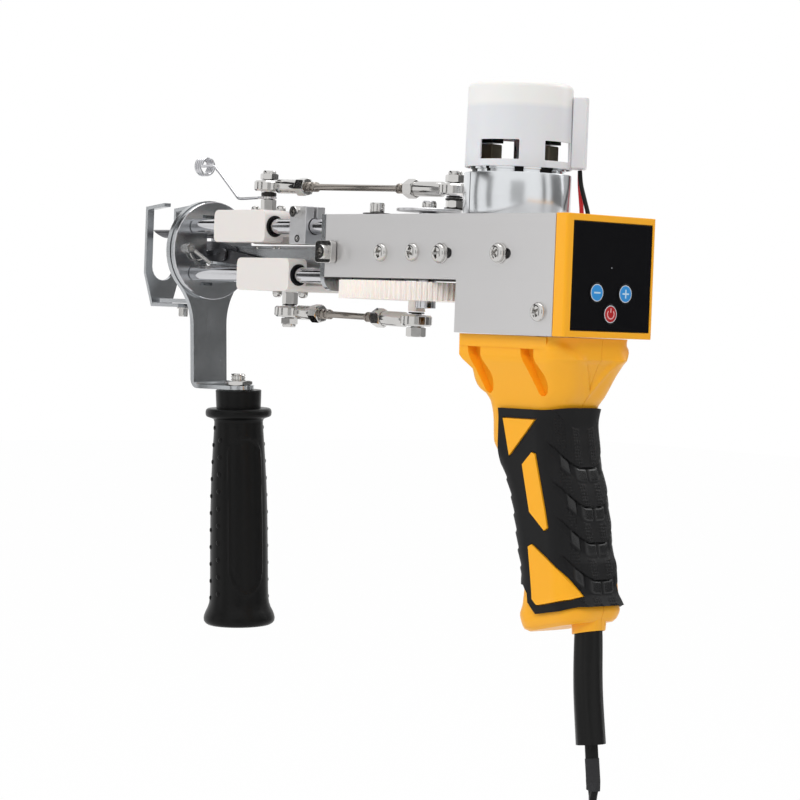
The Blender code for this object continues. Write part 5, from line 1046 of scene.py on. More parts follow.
for level, (wrist, pin, front, rear) in ROD_LINES.items():
    run = pin - wrist
    line = at(*wrist) @ aimed(run, "X", "Z")
    for piece, place, slot, node in (
        (rod_end(f"{level}_eye_front", 1, front), 0, "bright_nut", "rod_end_front"),
        (rod_end(f"{level}_eye_rear", -1, rear), run.length, "bright_nut", "rod_end_rear"),
        (link(f"{level}_threaded_rod", run.length, front, rear), 0, "polished_rod", "link"),
    ):
        settle(laid(piece, line @ at(place, 0, 0)), f"{level}_rod", slot, f"{level}_{node}")
    print(level, "rod", round(run.length, 1), "mm between its ball centres")

# %% [markdown]
# ## Wrist and crank bolts
#
# Each rod turns on a hexagonal pillar that is screwed into its sliding block, with two small pan-head screws
# beside it, and on a bolt in the crank. The nuts are closed with a self-locking collar, so their top is a
# smaller ring.

# %% Pillars, bolts and nuts
PILLAR_FLATS = 7.0
CORE_RADIUS = 2.6
RACE_RADIUS = 4.0
SCREW_ASIDE = 10.6


def lock_nut(height):
    """A hexagon nut with a round collar, standing on z 0."""
    rows = [(3.5, height * 0.6), (3.5, height * 0.86), (3.1, height), (2.2, height), (2.2, height * 0.6)]
    collar = turn("collar", rows, BRIGHT, 32, ring=True)
    return merge_pieces("lock_nut", [hex_head(NUT_FLATS, height * 0.68), collar])


def stud_end(low, high, radius, pitch):
    """The threaded end of a stud that shows in its nut."""
    rows = [(radius * 0.86, low), (radius * 0.86, high - 0.5), (radius * 0.7, high)]
    return [turn("core", rows, BRIGHT, 20), thread(radius, low, high - 0.5, pitch, BRIGHT, (0, 0, 1), 16)]


def pillar(name, spans, centre, body, node):
    """A stack of turned and hexagonal lengths on one vertical axis: (kind, low, high, size, surface)."""
    parts = []
    for kind, low, high, size, surface in spans:
        if kind == "hex":
            parts.append(laid(hex_head(size, high - low, surface), at(0, 0, low) @ spun(0.35)))
        elif kind == "nut":
            flip = spun(math.pi if high < low else 0, "X")
            parts.append(laid(lock_nut(abs(high - low)), at(0, 0, low) @ flip @ spun(0.1)))
        else:
            soft = 0.25
            rows = [(size - soft, low), (size, low + soft), (size, high - soft), (size - soft, high)]
            parts.append(turn("disc", rows, surface, 40))
    return settle(laid(merge_pieces(name, parts), at(centre.x, centre.y, 0)), body, "bright_nut", node)


def heights(node, eye):
    """The foot of a bolt, the two faces of the rod end on it, and the bolt's top."""
    low, high = box_mm(node)
    reach = EYE_HEIGHT / 2 + SEAT
    return low.z, eye.z - reach, eye.z + reach, high.z


(needle_wrist, upper_pin), (scissor_wrist, lower_pin) = (ROD_LINES[level][:2] for level in ("upper", "lower"))
low, under, over, high = heights("upper_wrist_bolt", needle_wrist)
pillar("needle_pillar", [
    ("hex", low, low + 6.0, PILLAR_FLATS, BRIGHT),
    ("disc", low + 6.0, under - 1.9, CORE_RADIUS, BRIGHT),
    ("disc", under - 1.9, under, RACE_RADIUS, BLACK_OXIDE),
    ("disc", under, over, CORE_RADIUS, BRIGHT),
    ("nut", over, high, 0, BRIGHT),
], needle_wrist, "needle_carriage", "upper_wrist_bolt")
low, under, over, high = heights("lower_wrist_bolt", scissor_wrist)
pillar("scissor_pillar", [
    ("nut", under, low, 0, BRIGHT),
    ("disc", under, over, CORE_RADIUS, BRIGHT),
    ("disc", over, high - 6.3, RACE_RADIUS, BLACK_OXIDE),
    ("hex", high - 6.3, high, PILLAR_FLATS, BRIGHT),
], scissor_wrist, "scissor_carriage", "lower_wrist_bolt")
low, under, over, high = heights("upper_crank_bolt", upper_pin)
pillar("upper_crank_pin", [
    ("disc", low, under, RACE_RADIUS, BLACK_OXIDE),
    ("disc", under, over, CORE_RADIUS, BRIGHT),
    ("nut", over, high, 0, BRIGHT),
], upper_pin, "upper_rod", "upper_crank_bolt")
low, under, over, high = heights("lower_crank_bolt", lower_pin)
pillar("lower_crank_pin", [
    ("hex", low, under, NUT_FLATS, BRIGHT),
    ("disc", under, over, CORE_RADIUS, BRIGHT),
    ("disc", over, high, RACE_RADIUS, BLACK_OXIDE),
], lower_pin, "lower_rod", "lower_crank_bolt")

low, high = box_mm("crank_disc")
middle = (low + high) / 2
wheel, plate = (high.x - low.x) / 2, low.z + 1.5
rows = [(wheel - 0.3, low.z), (wheel, low.z + 0.3), (wheel, plate - 0.3), (wheel - 0.3, plate)]
parts = [turn("wheel", rows, MILLED, 96, centre=(middle.x, middle.y))]
for foot, top, size, surface in (
    (plate, plate + 1.0, 4.9, BLACK_OXIDE),
    (plate + 1.0, high.z - 1.0, 7.6, BRIGHT),
    (high.z - 1.0, high.z, 4.4, BLACK_OXIDE),
):
    spacer = surface is BRIGHT
    stock = hex_head(size, top - foot) if spacer else turn("round", [(size, 0), (size, top - foot)], surface, 40)
    parts.append(laid(stock, at(upper_pin.x, upper_pin.y, foot)))
stand_for(merge_pieces("crank_wheel", parts), "crank_disc")

for name, wrist, node, end, body, height, spins in (
    ("needle_block_screws", needle_wrist, "needle_slider", 1, "needle_carriage", 3.0, (0.3, 1.0)),
    ("scissor_block_screws", scissor_wrist, "scissor_slider", 0, "scissor_carriage", 3.2, (0.7, 0.2)),
):
    face, way = box_mm(node)[end].z, 2 * end - 1
    places = [((wrist.x + side * SCREW_ASIDE, 0, face), (0, 0, way), spin) for side, spin in zip((-1, 1), spins)]
    settle(spread(name, pan_head(2.6, height), places), body, "bright_nut")
    print(name, "stand on", round(face, 1), "mm")

# %% [markdown]
# ## The hand grip
#
# The grip is moulded in two halves that meet in the middle. Its section is a rectangle with small radii in
# front and large ones behind, and it changes from a wide seat under the chassis to a narrow waist that leans
# back and swells again at the foot. The table gives that section at twenty heights. Between them it follows a
# curve that never overshoots, so the seat keeps its crisp lip while the handle flows.

# %% The grip's sections
GRIP_EDGE_X = 21.0
GRIP_FRONT = 65.0
GRIP_REAR = 30.0
GRIP_WIDTH = 47.0
FRONT_ROUND = 10.0
REAR_ROUND = 13.0
GRIP_ROWS = [
    # height downwards, front and rear reach, width, front and rear radius, each a share of the lengths above
    (0.000, 1.010, 0.192, 1.000, 0.12, 1.00), (0.076, 1.006, 0.196, 1.000, 0.12, 1.00),
    (0.092, 0.980, 0.135, 0.985, 0.16, 1.00), (0.125, 0.915, 0.065, 0.920, 0.40, 1.00),
    (0.160, 0.925, 0.000, 0.860, 0.55, 0.98), (0.190, 0.915, -0.062, 0.815, 0.70, 0.94),
    (0.210, 0.860, -0.105, 0.785, 0.85, 0.92), (0.245, 0.829, -0.205, 0.745, 1.00, 0.92),
    (0.300, 0.815, -0.225, 0.705, 1.00, 0.92), (0.375, 0.805, -0.171, 0.700, 1.00, 0.92),
    (0.440, 0.710, -0.114, 0.700, 1.00, 0.92), (0.505, 0.622, -0.015, 0.700, 1.00, 0.92),
    (0.570, 0.560, 0.065, 0.700, 1.00, 0.92), (0.700, 0.486, 0.176, 0.700, 1.00, 0.92),
    (0.825, 0.428, 0.265, 0.705, 1.00, 0.92), (0.900, 0.435, 0.312, 0.720, 1.00, 0.92),
    (0.930, 0.450, 0.372, 0.740, 1.00, 0.92), (0.960, 0.430, 0.430, 0.750, 1.00, 0.92),
    (0.990, 0.405, 0.395, 0.690, 0.90, 0.85), (1.000, 0.370, 0.365, 0.620, 0.80, 0.80),
]
CREST = (
    (0, 40.0), (4.3, 47.1), (8.5, 52.8), (15.9, 56.8), (18.1, 58.8), (20.7, 60.4), (23.1, 60.6), (26, 60.6)
)
SEAT_FOOT = 0.125


def row_slopes():
    """The slope of each column at each row: none where the column turns, so that no curve overshoots."""
    slopes = [[0.0] * 5]
    for before, row, after in zip(GRIP_ROWS, GRIP_ROWS[1:], GRIP_ROWS[2:]):
        line = []
        for c in range(1, 6):
            left = (row[c] - before[c]) / (row[0] - before[0])
            right = (after[c] - row[c]) / (after[0] - row[0])
            line.append(0.0 if left * right <= 0 else 2 * left * right / (left + right))
        slopes.append(line)
    return slopes + [[0.0] * 5]


ROW_SLOPES = row_slopes()


def row_at(height):
    """The grip's section at any height: straight between the rows of the seat, and a curve below it."""
    k = max(0, min(len(GRIP_ROWS) - 2, sum(1 for row in GRIP_ROWS if row[0] <= height) - 1))
    first, second = GRIP_ROWS[k], GRIP_ROWS[k + 1]
    step = second[0] - first[0]
    t = (height - first[0]) / step
    values = []
    for a, b, slope, next_slope in zip(first[1:], second[1:], ROW_SLOPES[k], ROW_SLOPES[k + 1]):
        if height < SEAT_FOOT:
            values.append(a + (b - a) * t)
        else:
            level = (2 * t**3 - 3 * t**2 + 1) * a + (3 * t**2 - 2 * t**3) * b
            values.append(level + ((t**3 - 2 * t**2 + t) * slope + (t**3 - t**2) * next_slope) * step)
    return values


def half_outline(height, grow_out, counts):
    """One half of a section, from the middle of the back round to the middle of the front, on the far side."""
    front, rear, width, front_round, rear_round = row_at(height)
    x0, x1 = GRIP_EDGE_X - GRIP_FRONT * front - grow_out, GRIP_EDGE_X + GRIP_REAR * rear + grow_out
    half = GRIP_WIDTH * width / 2 + grow_out
    small, large = FRONT_ROUND * front_round + grow_out, REAR_ROUND * rear_round + grow_out
    back, corner, cheek, nose, face = counts
    points = [(x1, (half - large) * i / back) for i in range(back)]
    points += arc((x1 - large, half - large), large, 0, 90, corner)[:-1]
    points += [(x1 - large + (x0 + small - x1 + large) * i / cheek, half) for i in range(cheek)]
    points += arc((x0 + small, half - small), small, 90, 180, nose)[:-1]
    return points + [(x0, (half - small) * (1 - i / face)) for i in range(face + 1)]


def grip_level(height, x):
    """How high a point of a section lies: the sections lean up to the back towards the foot."""
    return GRIP_TOP - GRIP_HEIGHT * height + BASE_TILT * ease(height, 0.40, 0.85) * (x - BOSS_X)


def along_table(table, value):
    """Reads a table of pairs with straight lines between them."""
    for (a, b), (c, d) in zip(table, table[1:]):
        if value <= c:
            return b + (d - b) * (value - a) / (c - a)
    return table[-1][1]


def crest(x, y, z):
    """The soft ridge that sweeps from the back corners of the seat down to the neck, with a hollow above it."""
    above = z - along_table(CREST, abs(y))
    hollow = 0.55 * ease(above, 0.5, 3.5) * (1 - ease(z, 63, 65.5))
    return (0.8 * math.exp(-((above / 2.2) ** 2)) - hollow) * ease(x, 9, 15) * ease(z, 34, 41)


def grip_section(height, grow_out=0.0, counts=(4, 12, 16, 8, 6), swell=True):
    """A closed section of the grip at one height."""
    points = []
    outer, inner = half_outline(height, grow_out, counts), half_outline(height, grow_out - 1, counts)
    for (x, y), (u, v) in zip(outer, inner):
        z = grip_level(height, x)
        points.append(Vector((x, y, z)) + Vector((x - u, y - v, 0)) * (crest(x, y, z) if swell else 0))
    return points[:-1] + [Vector((point.x, -point.y, point.z)) for point in points[:0:-1]]


heights_down = [0, 0.012, 0.024, 0.036, 0.048, 0.06, 0.0755, 0.0765, 0.086, 0.092, 0.1, 0.108, 0.116]
heights_down += [SEAT_FOOT + (0.93 - SEAT_FOOT) * i / 56 for i in range(57)]
heights_down += [0.94, 0.95, 0.96, 0.968, 0.976, 0.984, 0.99, 0.995, 1.0]
grip_body = lofted("grip_body", [grip_section(h, counts=(10, 20, 16, 8, 6)) for h in heights_down], YELLOW)
print(len(heights_down), "sections,", len(grip_body.data.polygons), "faces")

# %% Pockets, boss, bore and the joint between the halves
POCKET = [
    (8.6, 59.9), (0, 59.9), (0.1, 57.4), (1.2, 55.2), (7.6, 41.8), (8.5, 39.8), (9.8, 38.7), (11.6, 38.8),
    (13.3, 40.3), (14.2, 43), (14.4, 46), (13.6, 48.6), (9.4, 54.4), (8.6, 56.6),
]
POCKET_STARTS = (-37.7, -2.4)
LIP = [(-43.0, 60.0), (14.6, 60.0), (14.6, 65.6), (-43.0, 65.6)]
HALF_SEAM = 0.09

for side in (-1, 1):
    carve(grip_body, slab("lip", LIP, "Y", side * 22, side * 23.9, YELLOW), way="UNION")
    for first in POCKET_STARTS:
        floor = [Vector((first + x, side * (15.3 + 0.17 * (z - 41)), z)) for x, z in POCKET]
        mouth = [Vector((first + x, side * 30, z)) for x, z in POCKET]
        carve(grip_body, lofted("pocket", [floor, mouth], YELLOW))
boss_rows = [(7.4, BOSS_FOOT), (7.65, BOSS_FOOT + 0.5), (7.9, BOSS_FOOT + 9)]
bore_rows = [(6.9, BOSS_FOOT - 1), (6.9, BOSS_FOOT + 4)]
for name, rows, way in (("boss", boss_rows, "UNION"), ("bore", bore_rows, "DIFFERENCE")):
    piece = turn(name, rows, YELLOW, 56, centre=(BOSS_X, 0))
    for point in piece.data.vertices:
        point.co.z += BASE_TILT * (point.co.x - BOSS_X * MM)
    carve(grip_body, piece, way=way)
for side, name in ((-1, "left"), (1, "right")):
    half = new_object(f"grip_half_{name}", grip_body.data.copy())
    keep = slab("keep", [(-70, -90), (60, -90), (60, 80), (-70, 80)], "Y", side * HALF_SEAM, side * 40, YELLOW)
    stand_for(soften(carve(half, keep, way="INTERSECT"), 0.5, 3), f"grip_shell_{name}")
bpy.data.objects.remove(grip_body)
print("grip halves meet", 2 * HALF_SEAM, "mm apart")

# %% [markdown]
# ## The rubber overmould
#
# The overmould wraps the waist and the back of the handle. Four slanted bands run across the back: each
# starts with a sharp step down, holds soft glossy pads, and rises slowly to the next step, so that the hand
# meets steps in one direction only. Finger ridges run down the front. A Displace modifier could read such a
# pattern from a texture, but a function of the surface's own two directions puts each step and pad exactly
# where it belongs.

# %% The relief of the overmould
RUBBER_GROW = 1.7
BAND_TOPS = (6.8, -10.7, -26.7, -43.1)
BAND_RISE = ((0, 0.0), (5, 0.3), (8, 1.6), (9.5, 2.7), (13.6, 6.2), (16.3, 8.9), (18.4, 10.6), (24, 15.5))
BAND_WIDTH = 6.5
PADS = ((0.6, 7.0), (9.8, 13.8))
RUBBER_SPAN = (0.215, 0.972)
RUBBER_ROWS = 176
RUBBER_COUNTS = (16, 44, 26, 14, 8)


def bell(value, low, high, edge):
    """1 between two values, falling smoothly to 0 within an edge on both sides."""
    return ease(value, low - edge / 2, low + edge / 2) * (1 - ease(value, high - edge / 2, high + edge / 2))


def back_relief(around, height):
    """How deep the back lies under the full surface, then the shares of etched field and pad."""
    around = abs(around)
    level = height - along_table(BAND_RISE, around)
    fade = 1 - ease(around, 17.0, 21.5)
    swell = 1.5 * bell(height, -60, -33, 6) * (1 - ease(around, 10, 17))
    depth, field, gloss = 0.0, 0.0, 0.0
    for k, top in enumerate(BAND_TOPS):
        low = top - BAND_WIDTH * (1 - 0.28 * ease(around, 12, 20))
        following = BAND_TOPS[k + 1] if k + 1 < len(BAND_TOPS) else low - 9
        if low <= level <= top + 0.5:
            recess = 1 - ease(level, top - 0.15, top + 0.25)
            pad = max(bell(around, a, b, 1.1) for a, b in PADS) * bell(level, low + 0.5, top - 0.5, 1.2)
            depth = max(depth, recess * (1.25 - 1.05 * pad) - 0.4 * recess * (1 - ease(level, low, low + 0.8)))
            gloss = max(gloss, pad)
        elif following < level < low:
            depth = max(depth, 0.85 * (level - following) / (low - following))
            field = max(field, bell(level, following + 1.2, low - 1.2, 0.8))
    if level > BAND_TOPS[0] + 0.5:
        field = bell(level, BAND_TOPS[0] + 1.5, 24, 1.0)
    columns = max(bell(around, 2.6, 7.0, 1.4), bell(around, 10.8, 15.2, 1.4))
    return depth * fade - swell, field * columns * fade, gloss * fade


def front_relief(height, ahead):
    """Finger ridges down the front: saw teeth 7.9 mm apart that fade on the cheek."""
    share = bell(height, -44, 7, 3.0) * (1 - ease(ahead, 2.5, 9.0))
    tooth = ((7.0 - height) / 7.9) % 1.0
    return 0.95 * share * tooth * (1 - ease(tooth, 0.82, 1.0))


def grip_skin():
    """The finish of the overmould: dimples where its mould was etched, and gloss where it was polished."""
    material = finish(
        "overmould_skin", (0.0075, 0.0075, 0.008), 0.52, drift=0.15, grain=2600, relief=0.03, gloss_drift=0.08
    )
    tree = material.node_tree
    shader = tree.nodes["Principled BSDF"]
    field = add(tree, "ShaderNodeAttribute", attribute_name="field").outputs["Fac"]
    pad = add(tree, "ShaderNodeAttribute", attribute_name="pad").outputs["Fac"]
    place = add(tree, "ShaderNodeTexCoord").outputs["Object"]
    dimple = add(tree, "ShaderNodeTexVoronoi", place, Scale=720.0, Randomness=0.12).outputs["Distance"]
    deep = calc(tree, "MULTIPLY", dimple, field)
    fine_relief = next(node for node in tree.nodes if node.bl_idname == "ShaderNodeBump")
    feed(tree, fine_relief, "Normal", add(tree, "ShaderNodeBump", Strength=0.9, Distance=0.8 * MM, Height=deep))
    rough = shader.inputs["Roughness"].links[0].from_socket
    feed(tree, shader, "Roughness", calc(tree, "SUBTRACT", rough, calc(tree, "MULTIPLY", pad, 0.24)))
    feed(tree, shader, "Specular IOR Level", add(tree, "ShaderNodeMapRange", pad, 0.0, 1.0, 0.2, 0.5))
    return material


def overmould_row(height):
    """One closed row of the overmould: (point, field, pad)."""
    half = half_outline(height, RUBBER_GROW, RUBBER_COUNTS)
    travel = 0.0
    row = []
    for i, ((x, y), (u, v)) in enumerate(zip(half, half_outline(height, 0, RUBBER_COUNTS))):
        if i:
            travel += math.hypot(x - half[i - 1][0], y - half[i - 1][1])
        z = grip_level(height, x)
        back, field, pad = back_relief(travel, z)
        depth = back + front_relief(z, x - half[-1][0])
        row.append((Vector((x, y, z)) - Vector((x - u, y - v, 0)).normalized() * depth, field, pad))
    return row[:-1] + [(Vector((point.x, -point.y, point.z)), field, pad) for point, field, pad in row[:0:-1]]


OVERMOULD_SKIN = grip_skin()
low, high = RUBBER_SPAN
rows = [overmould_row(low + (high - low) * step / (RUBBER_ROWS - 1)) for step in range(RUBBER_ROWS)]
mesh = bmesh.new()
skin(mesh, [[point for point, field, pad in row] for row in rows])
mesh.transform(Matrix.Scale(MM, 4))
bmesh.ops.recalc_face_normals(mesh, faces=mesh.faces)
data = bpy.data.meshes.new("rubber_overmould")
mesh.to_mesh(data)
mesh.free()
data.materials.append(OVERMOULD_SKIN)
MARKS = ("field", "pad")
for k, key in enumerate(MARKS):
    shares = [mark[k + 1] for row in rows for mark in row]
    data.attributes.new(key, "FLOAT", "POINT").data.foreach_set("value", shares)
overmould = new_object("rubber_overmould", data)
data.shade_smooth()
print(len(data.polygons), "faces on the overmould")

# %% Its outline, its hollow and its windows
OUTLINE = [
    (-20.8, 32.2), (8.0, 32.5), (11.9, 33.0), (16.4, 33.9), (21.0, 35.3), (25.2, 36.0), (46, 36.3), (46, -53.5),
    (31.5, -54.6), (24.1, -57.1), (9.5, -59.9), (3.5, -55.3), (2.6, -51.1), (-0.9, -47.8), (-38, -46.5), (-38, 0.5),
    (-20.8, 0.5),
]
SLOPE = [(5.8, -28.8), (10.3, -31.4), (14.8, -33.9), (18.8, -36.5), (22.4, -39.1), (25.3, -41.8)]
FOOT = [
    (25.3, -52.6), (21.2, -53.7), (16.3, -54.9), (11.1, -56.1), (9.7, -56.0), (6.4, -53.7), (2.0, -29.6), (4.7, -28.2)
]
HIGH_WINDOW = [(-17.9, 28.1), (4.5, 28.3), (-12.6, 9.9)]
LONG_WINDOW = [(2.3, 13.5), (4.8, 12.7), (12.8, -13.0), (14.8, -20.6), (12.5, -22.3), (2.1, -14.3), (-4.0, 7.3)]
NEAR_END = [(27.8, -44.5), (30.2, -47.3), (32.3, -50.2), (30.8, -50.9), (28.5, -51.9)]
FAR_END = [(26.4, -43.0), (27.2, -51.9)]
WINDOWS = [(shape, side) for shape in (HIGH_WINDOW, LONG_WINDOW) for side in (-1, 1)]
# the low window ends sooner on the far side
WINDOWS += [(SLOPE + NEAR_END + FOOT, -1), (SLOPE + FAR_END + FOOT, 1)]


def shrink(outline, by):
    """Moves each side of an outline inwards."""
    turning = sum(a[0] * b[1] - b[0] * a[1] for a, b in zip(outline, outline[1:] + outline[:1]))
    sign = 1 if turning > 0 else -1
    made = []
    for before, here, after in zip(outline[-1:] + outline[:-1], outline, outline[1:] + outline[:1]):
        a = Vector((here[0] - before[0], here[1] - before[1])).normalized()
        b = Vector((after[0] - here[0], after[1] - here[1])).normalized()
        normal = Vector((-a.y, a.x))
        bisect = (normal + Vector((-b.y, b.x))).normalized() * sign
        reach = by / max(0.35, abs(bisect.dot(normal)))
        made.append((here[0] + bisect.x * reach, here[1] + bisect.y * reach))
    return made


def shell_body(name, grow_out, surface):
    """The grip's form from under the seat to its foot, a little larger."""
    levels = [0.19 + (0.99 - 0.19) * i / 60 for i in range(61)]
    return lofted(name, [grip_section(h, grow_out, swell=False) for h in levels], surface)


carve(overmould, slab("outline", OUTLINE, "Y", -40, 40, OVERMOULD_SKIN), way="INTERSECT")
carve(overmould, shell_body("hollow", 0.12, OVERMOULD_SKIN))
pads = []
for outline, side in WINDOWS:
    carve(overmould, slab("window", outline, "Y", side * 6, side * 40, OVERMOULD_SKIN))
    keep = slab("keep", shrink(outline, 0.45), "Y", side * 6, side * 40, YELLOW)
    pads.append(soften(carve(shell_body("pad", 2.3, YELLOW), keep, way="INTERSECT"), 0.9))
overmould.data.set_sharp_from_angle(angle=math.radians(40))
settle(overmould, "chassis", "black_rubber", "rubber_grip")
settle(merge_pieces("window_pads", pads), "chassis", "yellow_shell")
print(len(overmould.data.polygons), "faces after cutting")

# %% [markdown]
# ## The motor
#
# A brushed motor stands on the deck. Its can is closed by a rolled steel ring that carries the magnetic flux,
# and a white cap with four windows keeps dust from the brushes. Through the windows one sees the brush
# holders and the end of the shaft, and past them the windows on the other side, so the cap is modelled as a
# real hollow shell.

# %% Can, brush holders and flux ring
MOTOR_X = -33.4
VIEW_DEG = -44.4
NOTCHES = ((-38, 2.5), (2, 5.5), (38, 9), (110, 9), (182, 5.5), (230, 9), (290, 9))


def sector(outer, inner, middle_deg, half_deg, steps=12):
    """The outline of a piece of a ring about the motor's axis."""
    return ring_part((MOTOR_X, 0), outer, inner, middle_deg - half_deg, middle_deg + half_deg, steps)


def about_motor(angle_deg, places):
    """Places (ahead, aside) from the motor's axis, turned to an angle."""
    c, s = math.cos(math.radians(angle_deg)), math.sin(math.radians(angle_deg))
    return [(MOTOR_X + ahead * c - aside * s, ahead * s + aside * c) for ahead, aside in places]


def on_motor(name, profile, surface, steps, ring=True):
    return turn(name, profile, surface, steps, centre=(MOTOR_X, 0), ring=ring)


can = on_motor("can", [
    (2.8, 109.3), (8.3, 109.2), (8.5, 109.5), (8.5, 121.5), (21.4, 121.5), (21.5, 142.2), (22.3, 142.4),
    (22.4, 142.7), (22.4, 146.0), (22.0, 146.4), (4.0, 146.4), (3.6, 147.0), (2.8, 147.0),
], RING_STEEL, 72)


def notch_pieces(outer, inner, top):
    """A piece of a ring for each notch of the can."""
    outlines = [sector(outer, inner, VIEW_DEG + turned, wide) for turned, wide in NOTCHES]
    return [slab("notch", outline, "Z", 141, top, HARD_BLACK) for outline in outlines]


carve(can, *notch_pieces(24, 21.2, 146.6))
shaft_rows = [(2.45, 110), (2.45, 159.5), (2.1, 160)]
parts = notch_pieces(21.7, 21.0, 146.2) + [can, on_motor("shaft_end", shaft_rows, PLATED, 24, ring=False)]
HOLDER = ((18.7, 1.05), (12.4, 5.55), (7.7, -1.05), (14.0, -5.55))
TERMINAL = ((19.5, 1.6), (12.4, 6.2), (7.4, -0.6), (14.4, -6.2))
CLIP = ((12.5, 0.8), (14.5, 0.8), (14.5, -0.8), (12.5, -0.8))
for facing in (VIEW_DEG - 90, VIEW_DEG + 90):
    parts.append(soften(slab("holder", about_motor(facing, HOLDER), "Z", 147, 154.3, BRUSH_BROWN), 0.7, 3))
    parts.append(slab("terminal", about_motor(facing, TERMINAL), "Z", 154.9, 157.6, HARD_BLACK))
    parts.append(slab("clip", about_motor(facing, CLIP), "Z", 146.2, 156, BRIGHT))
settle(merge_pieces("motor_with_brushes", parts), "chassis", "black_plastic", "motor_can")
ring = on_motor("flux_ring_rolled", [
    (21.8, 121.7), (22.0, 121.5), (25.0, 121.5), (25.2, 121.8), (25.2, 140.4), (25.0, 140.7), (22.0, 140.7),
    (21.8, 140.5),
], RING_STEEL, 120)
carve(ring, slab("seam", sector(26, 23.4, VIEW_DEG - 59.5, 0.75, 2), "Z", 120, 143, HARD_BLACK))
settle(ring, "chassis", "plated_steel", "flux_ring")
print("motor axis at", MOTOR_X, "mm")

# %% The cap, its wire channel and the two leads


def cap_finish():
    """White plastic that lets some light through, its colour painted lighter where the motor no longer stands behind
    it, for the light that shines through there.
    """
    material = finish(
        "cap_plastic", (0.76, 0.765, 0.79), 0.34, drift=0.012, relief=0.006,
        Subsurface_Weight=0.15, Subsurface_Scale=0.002,
    )
    tree = material.node_tree
    base = tree.nodes["Principled BSDF"].inputs["Base Color"]
    place = add(tree, "ShaderNodeSeparateXYZ", add(tree, "ShaderNodeTexCoord").outputs["Object"])
    # Painted light: above this height the colour is mixed to a lighter tone, for light shining through the cap.
    above = add(tree, "ShaderNodeMapRange", place.outputs["Z"], 0.1706, 0.1730, 0.0, 1.0)
    tone = mix_colours(tree, above, base.links[0].from_socket, (0.88, 0.86, 0.84, 1))
    feed(tree, tree.nodes["Principled BSDF"], "Base Color", tone)
    return material


CAP = cap_finish()
profile = [(AXIS_RADIUS, 183.0)] + arc((21.4, 179.8), 3.2, 90, 0, 9)
profile += [(24.75, 165), (24.95, 150), (25.05, 143.5), (24.85, 143.2), (24, 143.2), (23.9, 143.4), (23.8, 165)]
profile += arc((20.9, 178.8), 2.8, 0, 90, 6) + [(AXIS_RADIUS, 181.6)]
cap = on_motor("motor_cap", profile, CAP, 120, ring=False)
windows = []
for middle_deg, half_deg, top in ((-66.2, 23, 155.5), (7.6, 22, 155.5), (77, 24, 157.5), (149, 24, 157.5)):
    windows.append(slab("cap_window", sector(27, 20, middle_deg, half_deg), "Z", 146.5, top, CAP))
    soften(windows[-1], 0.35, 3)
carve(cap, merge_pieces("windows", windows))
settle(soften(cap, 0.25, 2), "chassis", "white_cover", "motor_cover")
channel = slab("wire_channel", sector(31.9, 24.9, 45, 12.5), "Z", 143.9, 177.2, WHITE_CAP, 0.8)
settle(channel, "chassis", "white_cover", "wire_cover")


def wire(name, points, spacing, radius, corners, surface):
    """A round wire on a smooth path through points."""
    path = smooth_path([Vector(point) for point in points], spacing)
    return sweep(name, path, circle(radius, corners), surface)


BLACK_PATH = (
    (-13.3, 20.6, 143.4), (-12.2, 20.6, 137), (-9.4, 20.5, 130), (-6.8, 20.3, 124), (-6.5, 20.2, 121.6)
)
RED_PATH = (
    (-15.1, 22.4, 143.4), (-15.1, 22.6, 138), (-14.3, 22.5, 133), (-13, 22.3, 126), (-12.6, 22.3, 121.6)
)
stand_for(wire("motor_lead_black", BLACK_PATH, 1.2, 1.05, 14, BLACK_SKIN), "lead_black")
stand_for(wire("motor_lead_red", RED_PATH, 1.2, 1.05, 14, LEAD_RED), "lead_red")
print("cap faces:", len(cap.data.polygons))

# %% [markdown]
# ## Rear cover, panel and keys
#
# The cover is a moulded box with a shallow recess for the panel. Each key is a small plastic button with a
# printed ring and a sign. The signs are thin raised shapes, because a sign that has its own edge stays sharp
# from any distance.

# %% The cover and the panel
KEY_PLACES = ((-8.8, 86.3), (9.4, 86.3), (0.3, 76.9))
CORNER = 1.5


def oblong_at(low_u, high_u, low_v, high_v):
    """A rectangle between two places each way."""
    return [(low_u, low_v), (high_u, low_v), (high_u, high_v), (low_u, high_v)]


def key_holes(surface):
    return [turn("key_hole", [(4.7, 20), (4.7, 32)], surface, 40, "X", place) for place in KEY_PLACES]


outline = [(21.3, -27.0), (22.5, -27.0), (22.5, -28.3)]
for side, start in ((-1, -90), (1, 0)):
    outline += arc((30 - CORNER, side * (28.3 - CORNER)), CORNER, start, start + 90, 6)
outline += [(22.5, 28.3), (22.5, 27.0), (21.3, 27.0)]
cover = slab("rear_cover_moulded", outline, "Z", 66.0, 121.2, YELLOW)
recess = slab("pocket", oblong_at(-24.3, 26.1, 68.9, 118.1), "X", 28.3, 31, YELLOW)
room = slab("pocket", oblong_at(-24.4, 24.4, 68.6, 118.6), "X", 20, 26.6, YELLOW)
stand_for(soften(carve(cover, recess, room, *key_holes(YELLOW)), 0.5, 3), "rear_cover")
film = slab("panel_film", oblong_at(-24, 25.8, 69.2, 117.8), "X", 28.6, 30.0, PANEL_FILM)
stand_for(soften(carve(film, *key_holes(PANEL_FILM)), 0.12), "control_panel")
dot_rows = [(AXIS_RADIUS, 29.9), (0.27, 29.9), (0.25, 30.06), (AXIS_RADIUS, 30.1)]
settle(turn("panel_dot", dot_rows, PALE_PRINT, 16, "X", (0.4, 97.7)), "chassis", "black_panel")

# %% The keys
RING_ROWS = [(3.6, 30.3), (3.6, 30.49), (3.93, 30.46), (3.93, 30.3)]
RIM_ROWS = [(4.62, 30.2), (4.4, 30.38), (3.9, 30.44), (3.62, 30.4)]
CROWN_ROWS = [(3.65, 30.46), (3.3, 30.54), (2.2, 30.6), (AXIS_RADIUS, 30.62)]


